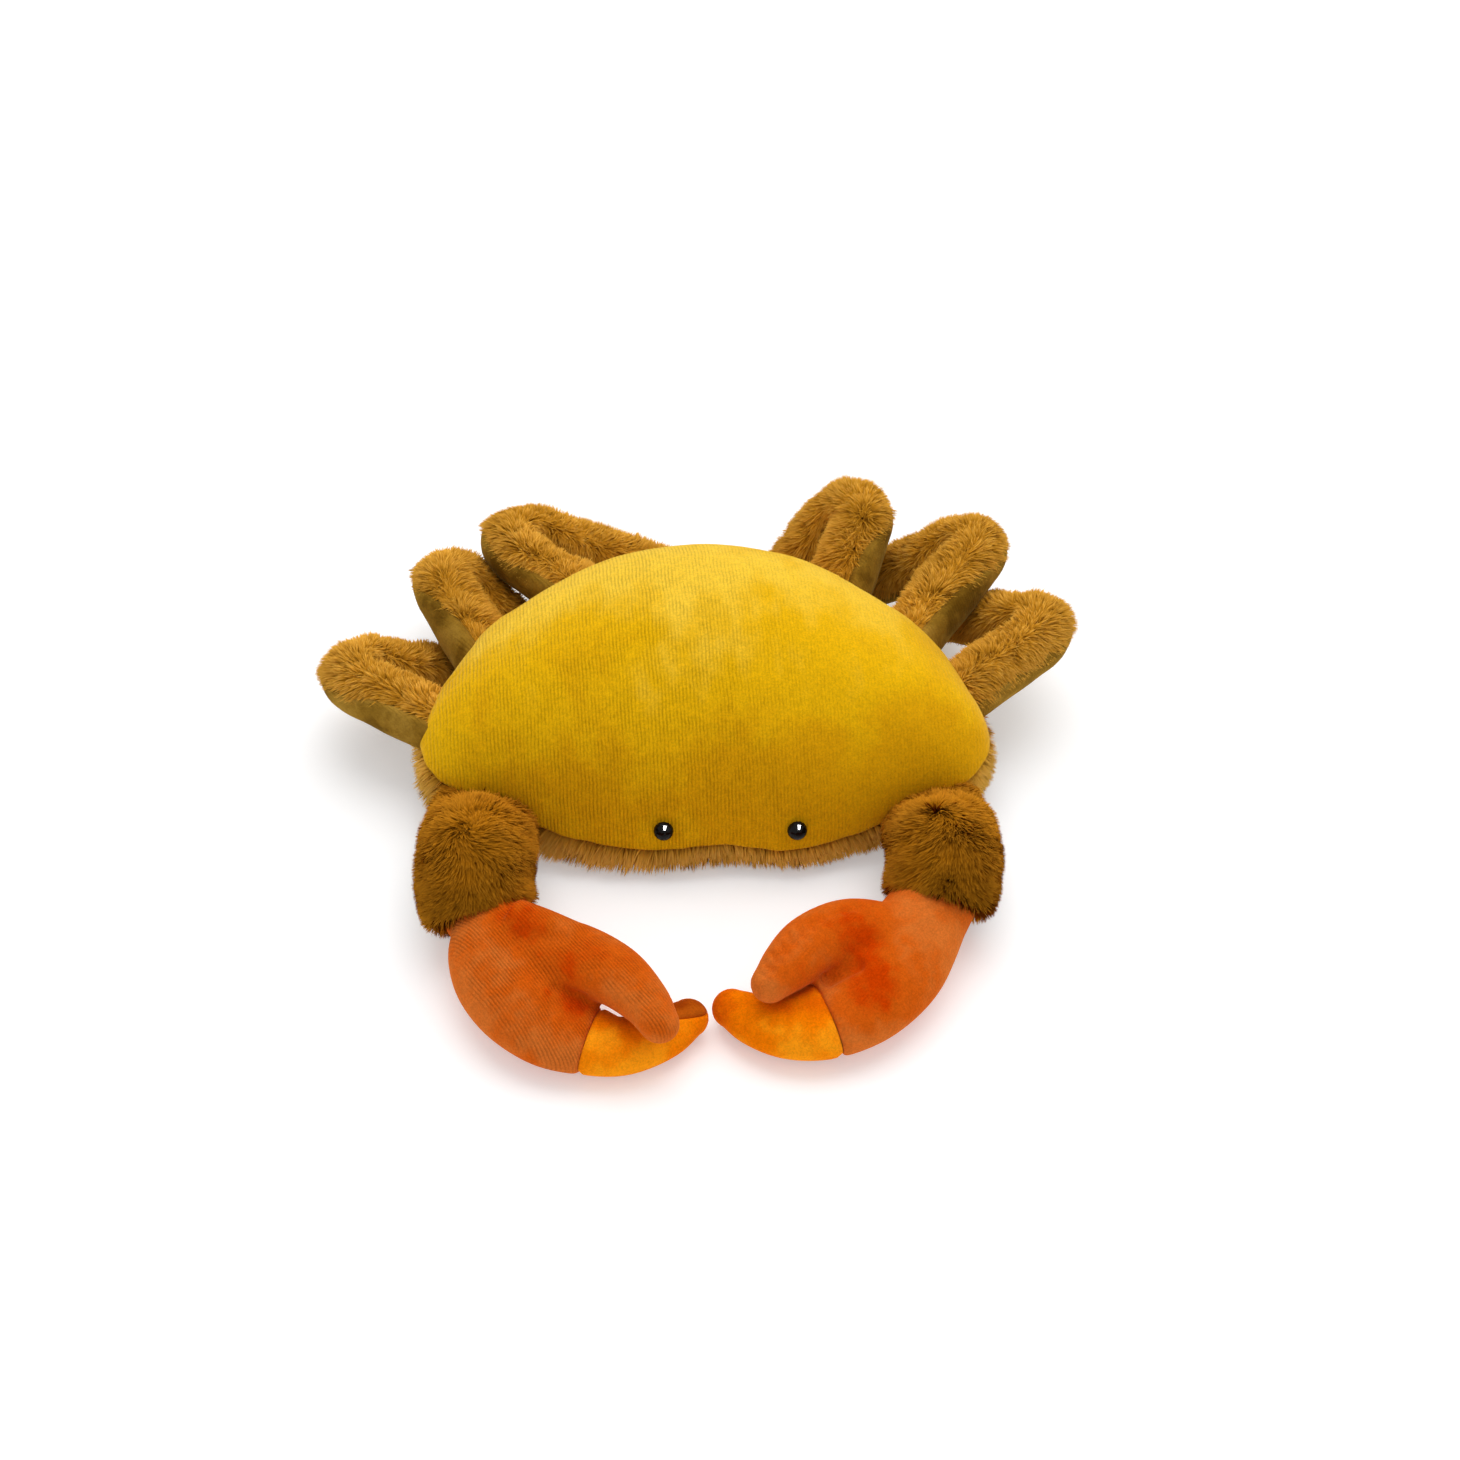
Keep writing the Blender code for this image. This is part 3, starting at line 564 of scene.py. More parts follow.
def make_shell():
    around, rows = 360, 76
    points = shell_grid(around, rows)
    normals = grid_normals(points, points - np.array((0, 0, 0.02)), True)
    below = len(points) - rows
    depth = np.linspace(0, 1, rows)
    near_seam = np.concatenate([np.ones(below), np.exp(-depth * 16)])[:, None]
    swell = noise(points, 0.03, 41) * 0.0007 + noise(points, 0.012, 42) * 0.00025
    level = points * (1, 1, 0)
    pucker = (noise(level, 0.0045, 43) * 0.6 + noise(level, 0.009, 44)) * 0.0005
    calm = np.clip(depth * 14, 0, 1)
    quiet = np.concatenate([np.zeros(below), calm])[:, None]
    move = swell * quiet + pucker * near_seam
    # A dimple round each eye, with the cloth raised right at it
    for side in ("left", "right"):
        low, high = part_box(f"eye_{side}")
        away = np.linalg.norm(points - np.array((low + high) / 2), axis=-1)
        move += 0.0005 * np.exp(-((away / 0.0042) ** 2)) - 0.0009 * np.exp(-((away / 0.009) ** 2))
    for first, last, width, fold in SHELL_CREASES:
        line = np.subtract(last, first)
        share = np.clip((points[..., :2] - first) @ line / (line @ line), 0, 1)
        away = np.linalg.norm(points[..., :2] - first - share[..., None] * line, axis=-1)
        move -= fold * (np.exp(-((away / width) ** 2)) - 0.5 * np.exp(-((away / width / 2.2) ** 2)))
    points = points + normals * move[..., None]
    points[-1] = points[-1].mean(0)
    turn = np.linspace(0, 2 * math.pi, around + 1)
    radius = np.concatenate([np.linspace(0.499, 0.475, below), np.linspace(0.47, 0.0005, rows)])
    place = 0.5 + radius[:, None, None] * np.stack([np.cos(turn), np.sin(turn)], -1)[None]
    uvs = corner_uvs(place)

    def shade(look):
        """Painted light at the back left and painted shade to the front and right, partly the nap.
        Cloudy.
        """
        # Painted light at the back left and painted shade to the front, partly the nap's lie
        back = look.span(look.along((0.14, -0.72, -0.35), (0.0, 0.0, 0.045)), -0.075, 0.075)
        cloud = look.noise(0.05)
        drawn_out = look.vector("MULTIPLY", look.where, (1.0, 1 / 3, 1.0))
        small = look.noise(0.009, where=drawn_out)
        tone = look.math("ADD", back, look.span(cloud, 0.3, 0.7, -0.22, 0.22))
        return look.math("ADD", tone, look.span(small, 0.3, 0.7, -0.1, 0.1), clamp=True)

    def ribbed(look):
        return look.span(look.along((1, 0.25, 0)), -0.02, 0.06, 1.0, 0.3)

    # The shell runs from light to dark by shade above, which holds painted light and shade
    look = velour(
        "mustard_velour_look", srgb(240, 195, 56), srgb(227, 174, 12), srgb(214, 155, 10),
        (1.0, 0.08, 0.0), 0.0014, 0.26, ribbed, shade, srgb(255, 232, 150),
    )
    faces = [grid_faces(len(points), around, True)]
    points = points.reshape(-1, 3)
    add_piece("soft_shell", points, faces, uvs, look, ["shell_panel"])


# Places by the right legs where the belly's fur is up to twice as long
LONG_FUR = ((0.098, 0.034), (0.0768, 0.060))


def make_belly(look):
    around, rows = 300, 44
    seam = seam_points(around)
    out = (seam - BODY_MIDDLE) * (1, 1, 0)
    reach = np.linalg.norm(out, axis=1)[:, None]
    inset = BELLY_PILE
    made = []
    for share, height in finer(BELLY_RINGS, rows):
        flat = BODY_MIDDLE + out * share * (1 - inset / reach)
        flat[:, 2] = inset + (seam[:, 2] - 0.0015 - inset) * max(height, 0)
        made.append(flat)
    made.append(np.repeat((BODY_MIDDLE + UP * inset)[None], around, 0))
    skin = np.array(made)
    outward = skin - (BODY_MIDDLE + UP * 0.03)
    normals = grid_normals(skin, outward, True)
    normals[-1] = -UP
    comb = unit(out)[None] * 0.75 - UP * 0.45 + np.zeros_like(skin)
    rng = np.random.default_rng(101)
    under = np.clip((skin[..., 2] - inset) / 0.003, 0.06, 1)
    fields = {"point": skin, "normal": normals, "comb": comb, "under": under}
    found = scatter(rng, fields, under, BELLY_BLADES, True)
    point = found["point"]
    length = rng.uniform(0.0050, 0.0078, len(point)) * (0.5 + 0.5 * found["under"])
    front_left = np.clip(0.3 - point[:, 0] / 0.06, 0, 1) * (point[:, 1] < -0.03)
    length *= 1 + 0.45 * front_left
    for place in LONG_FUR:
        away = np.linalg.norm(point[:, :2] - place, axis=1)
        length *= 1 + np.exp(-((away / 0.009) ** 2))
    tone = 0.5 + 0.2 * noise(point, 0.008, 61) + rng.normal(0, 0.14, len(length))
    width = rng.uniform(0.0004, 0.0006, len(length))
    blades = grow(rng, found, length, width, 0.5, 0.3, 0.22, 0.35, tone)
    furry("soft_belly", skin, True, blades, look, ["belly_panel"])


# Limbs


class Limb:
    """Sections along a centre line, each with a side and an up direction and half sizes."""

    def __init__(self, centres, widths, thickness, up, tip_steps=8):
        centres = np.asarray(centres, float)
        tangents = unit(np.gradient(centres, axis=0))
        if tip_steps:
            angles = np.radians(np.linspace(90 / tip_steps, 89, tip_steps))
            beyond = centres[-1] + tangents[-1] * (widths[-1] * np.sin(angles))[:, None]
            centres = np.concatenate([centres, beyond])
            tangents = np.concatenate([tangents, np.repeat(tangents[-1:], tip_steps, 0)])
            widths = np.concatenate([widths, widths[-1] * np.cos(angles)])
            thickness = np.concatenate([thickness, thickness[-1] * np.cos(angles)])
        self.centres, self.tangents = centres, tangents
        self.side = unit(np.cross(tangents, up))
        self.up = np.cross(self.side, tangents)
        self.widths = np.stack([widths, widths], 1)
        self.thickness = np.asarray(thickness, float)

    def grid(self, turns, inset=0.0):
        """Points at these angles round every section, inside its edge by inset."""
        turns = np.atleast_2d(turns)
        inset = np.broadcast_to(inset, (len(self.centres), turns.shape[1]))
        wide = np.where(np.cos(turns) > 0, self.widths[:, :1], self.widths[:, 1:])
        across = np.maximum(wide - inset, 0.0002) * np.cos(turns)
        above = np.maximum(self.thickness[:, None] - inset, 0.0002) * np.sin(turns)
        off = self.side[:, None] * across[..., None]
        return self.centres[:, None] + off + self.up[:, None] * above[..., None]

    def fan(self, first, last, count):
        """Evenly many angles from first to last, which may differ from section to section."""
        share = np.linspace(0, 1, count)[None]
        first, last = (np.broadcast_to(a, len(self.centres))[:, None] for a in (first, last))
        return first + (last - first) * share


def row_limb(rows, tip_steps=8):
    """A limb from rows of a centre, a half width and a half thickness."""
    return Limb(rows[:, :3], rows[:, 3], rows[:, 4], UP, tip_steps)


# Each side's legs as in the part: place on the seam, outermost point, foot, and how far the fur's
# seam is turned up at the root, in degrees. Then the point, from the outermost one, to which the
# fur at the knee's outer corner is combed, and how much fur is combed there
LEGS = {
    "right": [
        ("back", 8.45, (0.0035, 0.0505, 0.012), (-0.0275, 0.019), 36, (0.0172, -0.001, -0.004), 0.6),
        ("middle", 7.3, (0.027, 0.0595, 0.006), (-0.022, 0.048), 36, (0.016, -0.018, -0.006), 0.2),
        ("front", 6.25, (0.0365, 0.0425, 0.008), (-0.01, 0.064), 6, (0.008, -0.022, -0.008), 0.0),
    ],
    "left": [
        ("back", -8.45, (-0.0285, 0.0395, 0.006), (0.049, 0.029), 36, (-0.015, 0.0, -0.008), 0.7),
        ("middle", -7.0, (-0.0135, 0.05, 0.002), (0.019, 0.023), 38, (-0.0205, 0.003, -0.009), 1.0),
        ("front", -5.7, (-0.037, 0.0375, 0.0005), (0.017, 0.043), 32, (-0.0105, -0.0105, -0.008), 0.8),
    ],
}


def leg_limb(at, tip, foot):
    """The folded leg: out from the seam, back round a bend, and home to its foot."""
    base = curve(SEAM, np.array([at]), closed=True)[0]
    tip_point = base + np.array(tip)
    foot_point = np.array((base[0] + foot[0], base[1] + foot[1], FOOT_HALF_WIDTH))
    out = unit(tip_point - base)
    bend = tip_point - out * (LEG_BEND_RADIUS + LEG_HALF_WIDTH)
    home = foot_point - bend
    back = unit(home - out * home.dot(out))
    up = unit(np.cross(out, back))
    up = -up if up[2] < 0 else up
    first = -math.pi + math.acos(LEG_BEND_RADIUS / np.linalg.norm(bend - base))
    last = math.atan2(home.dot(back), home.dot(out))
    last -= math.acos(LEG_BEND_RADIUS / np.linalg.norm(home))
    turns = np.linspace(first, last, 20)[:, None]
    arc = bend + (out * np.cos(turns) + back * np.sin(turns)) * LEG_BEND_RADIUS
    start = base + unit(base - arc[0]) * LEG_ROOT_DEPTH
    share = np.linspace(0, 1, 15)[:-1, None]
    front = start + (arc[0] - start) * share
    share = np.linspace(0, 1, 11)[1:, None]
    run = arc[-1] + (foot_point - arc[-1]) * share
    centres = np.concatenate([front, arc, run])
    taper = LEG_HALF_WIDTH + (FOOT_HALF_WIDTH - LEG_HALF_WIDTH) * share[:, 0]
    widths = np.concatenate([np.full(len(front) + len(arc), LEG_HALF_WIDTH), taper])
    limb = Limb(centres, widths, widths * LEG_HALF_THICKNESS / LEG_HALF_WIDTH, up)
    middle = (first + last) / 2
    fold = out * math.cos(middle) + back * math.sin(middle)
    across = np.cross(fold, up)
    to_axis = (bend - limb.centres) @ across
    slope = limb.side @ across
    inner = np.where(to_axis * slope > 0, 0, 1)
    safe = np.where(np.abs(slope) > 0.01, slope, 1)
    reach = np.where(np.abs(slope) > 0.01, np.abs(to_axis / safe) - LEG_FOLD_GAP / 2, 1)
    rows = np.arange(len(inner))
    limb.widths[rows, inner] = np.maximum(np.minimum(limb.widths[rows, inner], reach), 0.0005)
    return limb, unit((tip_point - base) * (1, 1, 0)), tip_point


def make_leg(name, right, limb, root_rise, out, tuft, fur_look, velour_look, seed):
    """A leg's fur panel and its velour panel. Their outer seam is low at the knee."""
    away = np.linalg.norm(limb.centres - limb.centres[0], axis=1)
    rise = math.radians(root_rise) * (1 - (away / away.max()) ** 3)
    rise = rise - KNEE_SEAM_DROP * (away / away.max()) ** 3
    first, last = (rise, math.pi) if right else (0.0, math.pi - rise)
    columns = 26
    skin = limb.grid(limb.fan(first, last, columns), LEG_PILE)
    normals = grid_normals(skin, skin - limb.centres[:, None], False)
    level = normals * (1, 1, 0)
    steep = np.linalg.norm(level, axis=-1, keepdims=True)
    comb = unit(level * 0.9 + out * 0.5 - UP * (0.15 + 0.5 * steep))
    rng = np.random.default_rng(seed)
    weight = 0.85 + 0.4 * np.abs(np.linspace(-1, 1, columns))[None] + np.zeros(skin.shape[:2])
    weight = weight * ~inside_body(skin.reshape(-1, 3), -0.006).reshape(weight.shape)
    fields = {"point": skin, "normal": normals, "comb": comb}
    found = scatter(rng, fields, weight, LEG_BLADES, False)
    count = len(found["point"])
    length = rng.uniform(0.0056, 0.0080, count)
    width = rng.uniform(0.0004, 0.0006, count)
    tone = 0.5 + 0.22 * noise(found["point"], 0.009, seed) + rng.normal(0, 0.14, count)
    blades = grow(rng, found, length, width, 0.42, 0.25, 0.26, 0.38, tone, tuft)
    furry(f"soft_{name}_fur", skin, False, blades, fur_look, [f"{name}_fur"])

    turns = limb.fan(last, first + 2 * math.pi, 34)
    edge = np.minimum(turns - turns[:, :1], turns[:, -1:] - turns)
    lower = limb.grid(turns, LEG_PILE * np.clip(1 - edge / 0.22, 0, 1) ** 1.5)
    swell = noise(lower, 0.007, seed) * 0.0004
    lower = lower + unit(lower - limb.centres[:, None]) * swell[..., None]
    add_strip(f"{name}_velour", lower, 0.45, velour_look)


def make_legs(fur_look):
    def shade(look):
        return look.span(look.noise(0.018, 3.0, 0.6), 0.3, 0.7)

    def ribbed(look):
        return look.span(look.noise(0.01), 0.4, 0.6, 0.2, 0.6)

    olive = velour(
        "olive_velour_look", srgb(160, 122, 46), srgb(138, 102, 32), srgb(106, 74, 18),
        (0.7, 0.7, 0.0), 0.0013, 0.2, ribbed, shade, srgb(220, 190, 110),
    )
    seed = 200
    for side, legs in LEGS.items():
        for place, at, tip, foot, root_rise, corner, share in legs:
            limb, out, outermost = leg_limb(at, tip, foot)
            tuft = (outermost + np.array(corner), share)
            name = f"leg_{side}_{place}"
            make_leg(name, side == "right", limb, root_rise, out, tuft, fur_look, olive, seed)
            seed += 7


# Arms and pincers

# Each arm: its side and place on the seam, the sleeve from there, the palm with the lower finger
# and the upper finger from the sleeve's end, and the share of the palm and lower finger that the
# cover takes. Rows have a centre, a half width and a half thickness
ARMS = [
    (
        "left",
        -3.35,
        ((0.004, 0.01, -0.004, 0.02, 0.009), (0.003, -0.006, -0.002, 0.0215, 0.012),
         (0.0025, -0.019, 0.001, 0.0228, 0.018), (0.002, -0.036, 0.004, 0.023, 0.0226),
         (0.002, -0.0468, 0.0023, 0.0225, 0.0225),
         (0.0045, -0.0543, -0.0024, SLEEVE_END_RADIUS, SLEEVE_END_RADIUS)),
        ((0.0063, -0.008, -0.002, 0.0163, 0.0158), (0.0085, -0.0202, -0.0025, 0.02, 0.016),
         (0.0135, -0.0312, -0.0035, 0.022, 0.015), (0.0215, -0.0432, -0.0045, 0.0215, 0.014),
         (0.0305, -0.0522, -0.007, 0.0185, 0.0112), (0.0415, -0.0572, -0.0085, 0.015, 0.0096),
         (0.0545, -0.0592, -0.0095, 0.0122, 0.0086), (0.0685, -0.0532, -0.01, 0.0105, 0.008),
         (0.0785, -0.0452, -0.0105, 0.0075, 0.0072)),
        ((0.0095, -0.0212, -0.003, 0.01, 0.01), (0.0205, -0.0252, -0.0005, 0.016, 0.0135),
         (0.0335, -0.0287, 0.004, 0.0155, 0.0125),
         (0.0505, -0.0392, 0.0075, 0.0125, 0.0105), (0.0625, -0.0537, 0.0095, 0.0095, 0.0085),
         (0.0685, -0.0652, 0.01, 0.0075, 0.007)),
        0.62,
    ),
    (
        "right",
        3.25,
        ((0.002, 0.01, -0.004, 0.019, 0.009), (0.003, -0.005, -0.002, 0.021, 0.012),
         (0.0045, -0.017, 0.001, 0.0225, 0.0175), (0.0055, -0.029, 0.004, 0.0222, 0.022),
         (0.005, -0.0395, 0.0026, 0.0222, 0.0222),
         (0.003, -0.0472, -0.002, SLEEVE_END_RADIUS, SLEEVE_END_RADIUS)),
        ((-0.0051, -0.0083, -0.002, 0.0163, 0.0158), (-0.0107, -0.0194, -0.0025, 0.018, 0.0158),
         (-0.017, -0.0318, -0.0035, 0.019, 0.015), (-0.024, -0.0418, -0.0045, 0.0185, 0.014),
         (-0.033, -0.0498, -0.006, 0.0178, 0.012), (-0.045, -0.0553, -0.0075, 0.0165, 0.0104),
         (-0.057, -0.0568, -0.0085, 0.0138, 0.0094), (-0.069, -0.0527, -0.0095, 0.011, 0.0084),
         (-0.078, -0.047, -0.0102, 0.0075, 0.0074)),
        ((-0.0102, -0.021, -0.003, 0.0078, 0.01), (-0.0222, -0.0215, 0.0, 0.0133, 0.0135),
         (-0.0352, -0.022, 0.0035, 0.0133, 0.0125),
         (-0.0482, -0.0305, 0.0065, 0.0123, 0.0115), (-0.0572, -0.0415, 0.008, 0.0103, 0.01),
         (-0.0642, -0.051, 0.0085, 0.0073, 0.0075)),
        0.6,
    ),
]


# The web between the left pincer's wrist and its upper finger
WRIST_WEB = (
    (-0.0708, -0.1161, 0.03, 0.0075, 0.0075),
    (-0.0590, -0.1225, 0.03, 0.0080, 0.0080),
    (-0.0467, -0.1280, 0.03, 0.0070, 0.0070),
)
# Places on the covers are given where the photo's line of sight crosses this height
SIGHT_PLANE = 0.03
# Seams pressed into the covers: places along them, width, depth and pucker
GROOVES = {
    "left": [
        ([(-0.0433, -0.1560), (-0.0481, -0.1536), (-0.0532, -0.1507)], 0.0016, 0.0012, 0.0),
    ],
    "right": [
        (
            [(0.0222, -0.1435), (0.0289, -0.1328), (0.0375, -0.1220),
             (0.0462, -0.1140), (0.0567, -0.1105)],
            0.0017, 0.0015, 0.0006,
        ),
        ([(0.0457, -0.1479), (0.0509, -0.1440), (0.0568, -0.1401)], 0.0022, 0.0028, 0.0),
    ],
}
PUCKER_GAP = 0.0052


def placed(rows, origin):
    made = np.array(rows, float)
    made[:, :3] += origin
    return made


def make_sleeve(side, rows, look, seed):
    """A sleeve and its fur. Returns the middle of its far end and the direction there."""
    limb = row_limb(finer(rows, 30), 0)
    end, tangent = limb.centres[-1], limb.tangents[-1]
    skin = limb.grid(np.linspace(0, 2 * math.pi, 49)[:-1], SLEEVE_PILE)
    rings = ((0.1, 0.0012), (0.22, 0.0))
    closing = [skin[-1] + (end - skin[-1]) * share + tangent * far for share, far in rings]
    skin = np.concatenate([skin, closing])
    outward = skin - np.concatenate([limb.centres, [end, end]])[:, None]
    outward[-2:] += tangent * 0.03
    normals = grid_normals(skin, outward, True)
    level = normals * (1, 1, 0)
    ruffle = noise_vectors(skin, 0.009, seed)
    comb = unit(level * 0.8 + tangent * 0.3 - UP * 0.15 + ruffle * 0.5)
    rng = np.random.default_rng(seed)
    weight = 1.0 * ~inside_body(skin.reshape(-1, 3), -0.009).reshape(skin.shape[:2])
    weight[-2:] = 0
    fields = {"point": skin, "normal": normals, "comb": comb}
    found = scatter(rng, fields, weight, SLEEVE_BLADES, True)
    count = len(found["point"])
    length = rng.uniform(0.0050, 0.0070, count)
    width = rng.uniform(0.00045, 0.00065, count)
    # Painted rim light and shade: lighter where the sleeve is side-on to the line of sight, darker
    # where it faces it
    facing = np.abs(dot(unit(found["normal"]), SIGHT))
    cloud = 0.12 * noise(found["point"], 0.006, seed)
    tone = 0.95 - 0.55 * facing + cloud + rng.normal(0, 0.13, count)
    blades = grow(rng, found, length, width, 0.42, 0.15, 0.24, 0.28, tone)
    furry(f"soft_arm_{side}_sleeve", skin, True, blades, look, [f"arm_{side}_sleeve"])
    return end, tangent


def closed_limb(limb, around):
    """A limb as one closed form: points and faces."""
    grid = limb.grid(np.linspace(0, 2 * math.pi, around + 1)[:-1])
    rows = len(grid)
    points = np.concatenate([grid.reshape(-1, 3), grid[0].mean(0)[None], grid[-1].mean(0)[None]])
    ring = np.arange(around)
    after = (ring + 1) % around
    first = np.stack([np.full(around, rows * around), after, ring], 1)
    top = (rows - 1) * around
    last = np.stack([np.full(around, rows * around + 1), top + ring, top + after], 1)
    return points, [grid_faces(rows, around, True), first, last]


def voxel_form(name, forms):
    """One skin round overlapping closed forms, smoothed where they meet."""
    verts, faces, start = [], [], 0
    for points, parts in forms:
        verts.append(points)
        faces += [tuple(int(i) + start for i in face) for kind in parts for face in kind]
        start += len(points)
    mesh = bpy.data.meshes.new("forms")
    mesh.from_pydata(np.concatenate(verts).tolist(), [], faces)
    obj = new_object("forms", mesh)
    remesh = obj.modifiers.new("one_skin", "REMESH")
    remesh.mode = "VOXEL"
    remesh.voxel_size = 0.0011
    smooth = obj.modifiers.new("soften", "SMOOTH")
    smooth.factor = 0.5
    smooth.iterations = 10
    bpy.context.view_layer.update()
    made = bpy.data.meshes.new_from_object(obj.evaluated_get(bpy.context.evaluated_depsgraph_get()))
    bpy.data.objects.remove(obj)
    bpy.data.meshes.remove(mesh)
    made.name = name
    made.shade_smooth()
    return made


def groove(mesh, places, width, depth, pucker):
    """Presses a seam into a mesh along places, and puckers it beside the seam."""
    count = len(mesh.vertices)
    points, normals = np.empty((count, 3), np.float32), np.empty((count, 3), np.float32)
    mesh.vertices.foreach_get("co", points.ravel())
    mesh.vertex_normals.foreach_get("vector", normals.ravel())
    places = [(x, y, SIGHT_PLANE) for x, y in places]
    line = finer(places, 40)
    run = np.concatenate([[0], np.cumsum(np.linalg.norm(np.diff(line, axis=0), axis=1))])
    off = np.cross(points[:, None] - line[None], SIGHT)
    away = np.linalg.norm(off, axis=-1)
    nearest = away.argmin(1)
    away = away.min(1)
    facing = np.clip(-dot(normals, SIGHT) * 2, 0, 1)
    press = -depth * np.exp(-((away / width) ** 2))
    waves = np.sin(run[nearest] * 2 * math.pi / PUCKER_GAP) * pucker
    press += waves * np.exp(-(((away - width) / width) ** 2))
    points += normals * (press * facing)[:, None]
    mesh.vertices.foreach_set("co", points.ravel())
    mesh.update()


def make_claw(side, end, palm_rows, finger_rows, seam_share, looks):
    """A pincer: the cover over its palm and upper finger, and the lower finger's two panels."""
    origin, tangent = end
    steps = 64
    palm = finer(placed(palm_rows, origin), steps)
    neck = [[*(origin - tangent * WRIST_INSERT * t), WRIST_RADIUS, WRIST_RADIUS] for t in (0.6, 0.3)]
    seam = round(steps * seam_share)
    upper = finer(placed(finger_rows, origin), 40)
    forms = [row_limb(np.concatenate([neck, palm[: seam + 1]]), 0), row_limb(upper)]
    if side == "left":
        forms.append(row_limb(finer(WRIST_WEB, 20)))
    closed = [closed_limb(form, 48) for form in forms]
    mesh = voxel_form(f"soft_claw_{side}_cover", closed)
    for places, width, depth, pucker in GROOVES[side]:
        groove(mesh, places, width, depth, pucker)
    place_piece(mesh, looks["cover"], [f"claw_{side}_cover"])
    whole = row_limb(palm)
    limb = row_limb(palm[seam:])
    limb.side[0], limb.up[0] = whole.side[seam], whole.up[seam]
    along = np.linspace(0, 1, len(limb.centres))
    climb = along**2 * (3 - 2 * along)
    rise = FINGER_SEAM_RISE + (FINGER_TIP_RISE[side] - FINGER_SEAM_RISE) * climb
    ends = (rise, math.pi + FINGER_SEAM_DROP)
    if side == "left":
        ends = (-FINGER_SEAM_DROP, math.pi - rise)
    butt = np.clip(1 - along / 0.05, 0, 1)[:, None]
    for part, slot in (("top", "yellow_velour"), ("under", "rust_velour")):
        first, last = ends if part == "top" else (ends[1], ends[0] + 2 * math.pi)
        turns = limb.fan(first, last, 36)
        edge = np.clip(1 - np.minimum(turns - turns[:, :1], turns[:, -1:] - turns) / 0.16, 0, 1)
        grid = limb.grid(turns, 0.0010 * edge**2 + 0.0014 * butt**2)
        add_strip(f"claw_{side}_finger_{part}", grid, 0.5, looks[part])


def make_arms(sleeve_look):
    def shade(look):
        """Yellower to the front, darker to the back by the upper finger: painted shade of its shadow.
        """
        # Painted shade: darker toward the back, where the upper finger's shadow falls
        front = look.span(look.along((0, -1, 0), (0, -0.155, 0)), -0.012, 0.016, 0.75, 0.1)
        cloud = look.span(look.noise(0.012), 0.3, 0.7, -0.25, 0.25)
        return look.math("ADD", front, cloud, clamp=True)

    def even(look):
        return look.span(look.noise(0.02), 0.3, 0.6, 0.5, 1.0)

    def plain(look):
        return look.span(look.noise(0.01), 0.3, 0.7, 0.0, 0.25)

    def flushed(spots):
        """Cloudy, and darker round spots: each a place, a radius and a strength."""
        ragged = 0.008

        def tone(look):
            cloud = look.span(look.noise(0.022, 3.0, 0.55), 0.3, 0.7, 0.0, 0.4)
            small = look.span(look.noise(0.005), 0.3, 0.7, -0.07, 0.09)
            cloud = look.math("ADD", cloud, small)
            edge = look.math("MULTIPLY", look.noise(0.009), ragged)
            for x, y, radius, strength in spots:
                off = look.vector("SUBTRACT", look.where, (x, y, SIGHT_PLANE))
                off = look.vector("LENGTH", look.vector("CROSS_PRODUCT", off, SIGHT))
                away = look.math("ADD", off, edge)
                dark = look.span(away, 0.0, radius + ragged, strength, 0.0)
                cloud = look.math("ADD", cloud, dark)
            return look.math("MINIMUM", cloud, 1.0)

        return tone

    # The fingers' panels run light to dark by shade above, with its painted shade
    top = velour(
        "yellow_velour_look", srgb(250, 152, 20), srgb(238, 122, 2), srgb(218, 94, 2),
        (0.8, 0.6, 0.0), 0.0014, 0.2, plain, shade, srgb(255, 180, 90),
    )
    under = velour(
        "rust_velour_look", srgb(196, 100, 22), srgb(180, 86, 14), srgb(150, 60, 6),
        (0.8, 0.6, 0.0), 0.0014, 0.2, plain, shade, srgb(230, 150, 90),
    )
    ribs = {"left": ((0.8, 0.6, 0.0), even, 0.3), "right": ((0.8, -0.6, 0.0), plain, 0.25)}
    spots = {
        "left": [
            (-0.0678, -0.1161, 0.015, 0.92),
            (-0.0578, -0.1363, 0.015, 0.575),
            (-0.0377, -0.1324, 0.013, 0.575),
            (-0.0225, -0.1406, 0.010, 0.575),
            (-0.0476, -0.1574, 0.011, 0.575),
            (-0.0487, -0.1669, 0.010, 0.575),
        ],
        "right": [
            (0.0579, -0.1260, 0.020, 0.92),
            (0.0620, -0.1493, 0.016, 0.5175),
            (0.0330, -0.1421, 0.011, 0.69),
            (0.0671, -0.1598, 0.015, 0.4025),
        ],
    }
    seed = 400
    for side, at, sleeve_rows, palm_rows, finger_rows, seam_share in ARMS:
        direction, mask, depth = ribs[side]
        tone = flushed(spots[side])
        cover = velour(
            f"orange_velour_look_{side}", srgb(208, 108, 40), srgb(204, 88, 14), srgb(196, 60, 0),
            direction, 0.0011, depth, mask, tone, srgb(255, 170, 100),
        )
        base = curve(SEAM, np.array([at]), closed=True)[0]
        end = make_sleeve(side, placed(sleeve_rows, base), sleeve_look, seed)
        looks = {"cover": cover, "top": top, "under": under}
        make_claw(side, end, palm_rows, finger_rows, seam_share, looks)
        seed += 7


# Carried-over parts


